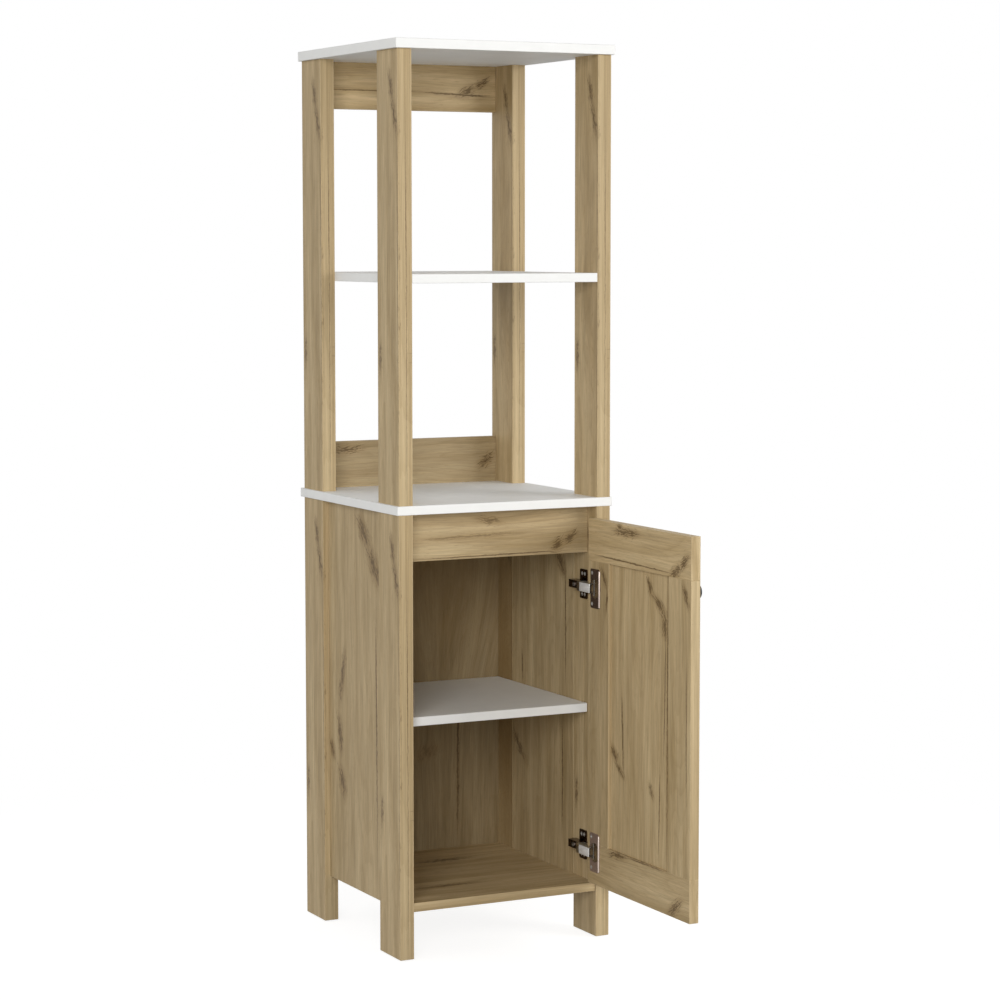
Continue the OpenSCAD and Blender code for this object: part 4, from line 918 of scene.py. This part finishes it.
def round_edges(piece, width, segments):
    """Rounds a piece's sharp edges with a bevel, and smooths its shading between them."""
    bevel = piece.modifiers.new("Rounded edges", "BEVEL")
    bevel.width = width
    bevel.segments = segments
    bevel.limit_method = "ANGLE"
    bevel.angle_limit = math.radians(40)
    bpy.ops.object.modifier_apply(modifier=bevel.name)
    bpy.ops.object.shade_smooth_by_angle(angle=math.radians(35))


def copy_down(name, drop):
    """A copy of the selected piece, with its own mesh, this far below it."""
    bpy.ops.object.duplicate(linked=False)
    copy = bpy.context.object
    copy.name = name
    bpy.ops.transform.translate(value=(0, 0, -drop))
    bpy.ops.object.transform_apply(location=True, rotation=True, scale=True)
    return copy


class CABINET_OT_link_covers(bpy.types.Operator):
    """Adds the bright crowned cover plate on each hinge's link"""

    bl_idname = "cabinet.link_covers"
    bl_label = "Link covers"

    def execute(self, context):
        metal = context.scene.cabinet_hardware
        low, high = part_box("hinge_link_upper")
        lower_low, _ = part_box("hinge_link_lower")
        length = metal.cover
        thick = 0.0012
        margin = 0.0005
        sunk = 0.0003
        near_end = low.y + 0.0006
        deselect()
        # The plate lies on the link's outer face, and is let into it by a third of a millimetre
        bpy.ops.mesh.primitive_cube_add(
            size=1, scale=(thick, length, high.z - low.z - 2 * margin),
            location=(low.x + sunk - thick / 2, near_end + length / 2, (low.z + high.z) / 2),
        )
        cover = context.object
        cover.name = "link_cover_upper"
        bpy.ops.object.transform_apply(location=True, rotation=True, scale=True)
        pick_faces(cover, lambda face: face.normal.x < -0.9)
        # The face is crowned, and a shallow groove runs round its raised field
        for inwards, up in ((0.0022, 0.0004), (0.0008, -0.0003), (0.0006, 0.0004)):
            bpy.ops.mesh.inset(thickness=inwards, depth=up)
        bpy.ops.object.mode_set(mode="OBJECT")
        round_edges(cover, width=0.00025, segments=2)
        copy = copy_down("link_cover_lower", low.z - lower_low.z)
        for piece in (cover, copy):
            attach(piece, "links")
            plated_steel("bright_nickel", piece.name, "YX", metal.bright, roughness=0.34, streak=5,
                         metallic=0.35)
        return {"FINISHED"}


class CABINET_OT_rolled_edges(bpy.types.Operator):
    """Adds the rolled bead along the far edge of each hinge cup's flange"""

    bl_idname = "cabinet.rolled_edges"
    bl_label = "Rolled edges"

    def execute(self, context):
        metal = context.scene.cabinet_hardware
        low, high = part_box("hinge_cup_upper")
        lower_low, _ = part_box("hinge_cup_lower")
        radius = metal.bead
        end_gap = 0.0025
        clear = 0.0002
        flange_middle = low.x + 0.0005
        deselect()
        bpy.ops.mesh.primitive_cylinder_add(
            vertices=20, radius=radius, depth=high.z - low.z - 2 * end_gap,
            location=(low.x + clear, low.y + radius + clear, (low.z + high.z) / 2),
        )
        bead = context.object
        bead.name = "rolled_edge_upper"
        bpy.ops.object.transform_apply(location=True, rotation=True, scale=True)
        pick_faces(bead, lambda face: True)
        # The half that would lie in the flange is cut off
        bpy.ops.mesh.bisect(
            plane_co=(flange_middle, 0, 0), plane_no=(1, 0, 0), use_fill=True, clear_outer=True
        )
        bpy.ops.object.mode_set(mode="OBJECT")
        round_edges(bead, width=0.0006, segments=3)
        copy = copy_down("rolled_edge_lower", low.z - lower_low.z)
        # The bead's shape is the flange's rolled edge, and its pale colour is a painted reflection
        for piece in (bead, copy):
            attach(piece, "door")
            plated_steel("bronze_bead_painted_reflection", piece.name, "ZX", metal.rolled, roughness=0.34, streak=5,
                         metallic=0.45)
        return {"FINISHED"}


class CABINET_OT_fasteners(bpy.types.Operator):
    """Gives the dowels, cams, bolts, knob and glides their finishes"""

    bl_idname = "cabinet.fasteners"
    bl_label = "Knob, glides and fasteners"

    def execute(self, context):
        hardware = context.scene.cabinet_hardware
        for node, grain in DOWELS.items():
            beech_dowel(node, grain, hardware.beech)
        for node in ZINC_PLATED:
            zinc_plate(node, hardware.zinc)
        fine_grained("black_powder_paint", "knob", hardware.knob, roughness=0.45, grit=0.5, relief=0.00004)
        fine_grained("moulded_polythene", "glides", hardware.glide, roughness=0.5, grit=0.7, relief=0.00005)
        return {"FINISHED"}


def seen_directly(tree):
    """1 for what the camera sees, itself or through gloss or glass, and 0 for the light on the cabinet."""
    path = add(tree, "LightPath")
    seen = add(tree, "Math", {"operation": "MAXIMUM"},
               {0: path.outputs["Is Camera Ray"], 1: path.outputs["Is Glossy Ray"]})
    through = add(tree, "Math", {"operation": "MAXIMUM"},
                  {0: seen.outputs[0], 1: path.outputs["Is Transmission Ray"]})
    return through.outputs[0]


def pale_floor(colour):
    """A matt floor that the camera sees as white as the backdrop, less the cabinet's shadow near the feet."""
    material, tree = new_material("pale_floor")
    matt = add(tree, "BsdfPrincipled", {},
               {"Base Color": colour, "Roughness": 0.9, "Specular IOR Level": 0.1})
    glow = add(tree, "Emission", {}, {"Color": WHITE_LIGHT, "Strength": FLOOR_GLOW})
    near = add(tree, "AddShader", {}, {0: matt.outputs[0], 1: glow.outputs[0]})
    backdrop = add(tree, "Emission", {}, {"Color": WHITE_LIGHT, "Strength": 1})
    place = add(tree, "TexCoord")
    reach = add(tree, "VectorMath", {"operation": "LENGTH"}, {0: place.outputs["Object"]})
    fade = add(tree, "MapRange", {"interpolation_type": "SMOOTHSTEP"},
               {"Value": reach.outputs["Value"], "From Min": FLOOR_FADE[0], "From Max": FLOOR_FADE[1]})
    shown = add(tree, "MixShader", {}, {0: fade.outputs[0], 1: near.outputs[0], 2: backdrop.outputs[0]})
    either = add(tree, "MixShader", {}, {0: seen_directly(tree), 1: matt.outputs[0], 2: shown.outputs[0]})
    add(tree, "OutputMaterial", {}, {"Surface": either.outputs[0]})
    return material


def light_room(sky, stage):
    """Gives the room one brightness on each side, blended into each other, with a white backdrop."""
    where = add(sky, "TexCoord").outputs["Generated"]
    shares = []
    for operation, sides in (
        ("MAXIMUM", (stage.right, stage.back, stage.above)),
        ("MINIMUM", (stage.left, stage.front, 0)),
    ):
        half = add(sky, "VectorMath", {"operation": operation}, {0: where, 1: (0, 0, 0)})
        square = add(sky, "VectorMath", {"operation": "MULTIPLY"}, {0: half.outputs[0], 1: half.outputs[0]})
        share = add(sky, "VectorMath", {"operation": "DOT_PRODUCT"}, {0: square.outputs[0], 1: sides})
        shares.append(share.outputs["Value"])
    level = add(sky, "Math", {"operation": "ADD"}, {0: shares[0], 1: shares[1]})
    room = add(sky, "Background", {}, {"Color": WHITE_LIGHT, "Strength": level.outputs[0]})
    backdrop = add(sky, "Background", {}, {"Color": WHITE_LIGHT, "Strength": 1.0})
    either = add(sky, "MixShader", {}, {0: seen_directly(sky), 1: room.outputs[0], 2: backdrop.outputs[0]})
    add(sky, "OutputWorld", {}, {"Surface": either.outputs[0]})


def soft_lamp(name, place, power):
    """A large square lamp that looks at the cabinet."""
    data = bpy.data.lights.new(name, "AREA")
    data.energy = power
    data.size = LAMP_SIZE
    lamp = bpy.data.objects.new(name, data)
    lamp.location = place
    lamp.rotation_euler = (Vector(LAMP_TARGET) - Vector(place)).to_track_quat("-Z", "Y").to_euler()
    bpy.context.scene.collection.objects.link(lamp)


class CABINET_OT_stage(bpy.types.Operator):
    """Adds the floor, the room light, the lamps and the camera"""

    bl_idname = "cabinet.stage"
    bl_label = "Studio"

    def execute(self, context):
        stage = context.scene.cabinet_stage
        deselect()
        bpy.ops.mesh.primitive_plane_add(size=FLOOR_SIZE, location=(0, 0, 0))
        floor = context.object
        floor.name = "floor"
        floor.data.materials.append(pale_floor(stage.floor))

        world = bpy.data.worlds.new("studio")
        context.scene.world = world
        world.use_nodes = True
        world.node_tree.nodes.clear()
        light_room(world.node_tree, stage)
        soft_lamp("lamp_left", LEFT_LAMP_PLACE, stage.key)
        soft_lamp("lamp_right", RIGHT_LAMP_PLACE, stage.fill)

        lens = bpy.data.cameras.new("camera")
        lens.lens = stage.lens
        lens.sensor_width = SENSOR_WIDTH
        camera = bpy.data.objects.new("camera", lens)
        camera.location = CAMERA_PLACE
        camera.rotation_euler = [math.radians(turn) for turn in CAMERA_TURN]
        context.scene.collection.objects.link(camera)
        context.scene.camera = camera
        context.scene.view_settings.view_transform = "Standard"
        return {"FINISHED"}


class CABINET_PT_panel(bpy.types.Panel):
    """Lists the cabinet's pieces, with their colours and sizes"""

    bl_idname = "CABINET_PT_panel"
    bl_label = "Bathroom cabinet"
    bl_space_type = "VIEW_3D"
    bl_region_type = "UI"
    bl_category = "Cabinet"

    def draw(self, context):
        for settings, operators in PARTS:
            box = self.layout.box()
            group = getattr(context.scene, settings)
            for name in group.bl_rna.properties.keys():
                if name not in ("rna_type", "name"):
                    box.prop(group, name)
            for operator in operators:
                box.operator(operator.bl_idname)


SETTINGS = {
    "cabinet_oak": OakSettings,
    "cabinet_white": WhiteSettings,
    "cabinet_hardware": HardwareSettings,
    "cabinet_stage": StageSettings,
}
PARTS = [
    ("cabinet_oak", [CABINET_OT_uprights, CABINET_OT_boards, CABINET_OT_door]),
    ("cabinet_white", [CABINET_OT_white_boards]),
    (
        "cabinet_hardware",
        [CABINET_OT_hinges, CABINET_OT_link_covers, CABINET_OT_rolled_edges, CABINET_OT_fasteners],
    ),
    ("cabinet_stage", [CABINET_OT_stage]),
]
OPERATORS = [operator for _, operators in PARTS for operator in operators]
CLASSES = [*SETTINGS.values(), *OPERATORS, CABINET_PT_panel]


def register():
    """Registers the classes and puts the settings on the scene."""
    for cls in CLASSES:
        bpy.utils.register_class(cls)
    for name, group in SETTINGS.items():
        setattr(bpy.types.Scene, name, PointerProperty(type=group))


def unregister():
    """Takes the settings off the scene and the classes out."""
    for name in SETTINGS:
        delattr(bpy.types.Scene, name)
    for cls in reversed(CLASSES):
        bpy.utils.unregister_class(cls)


def main():
    """Registers the classes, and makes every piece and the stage."""
    register()
    bpy.ops.cabinet.uprights()
    bpy.ops.cabinet.boards()
    bpy.ops.cabinet.door()
    bpy.ops.cabinet.white_boards()
    bpy.ops.cabinet.hinges()
    bpy.ops.cabinet.link_covers()
    bpy.ops.cabinet.rolled_edges()
    bpy.ops.cabinet.fasteners()
    bpy.ops.cabinet.stage()


if __name__ == "__main__":
    main()
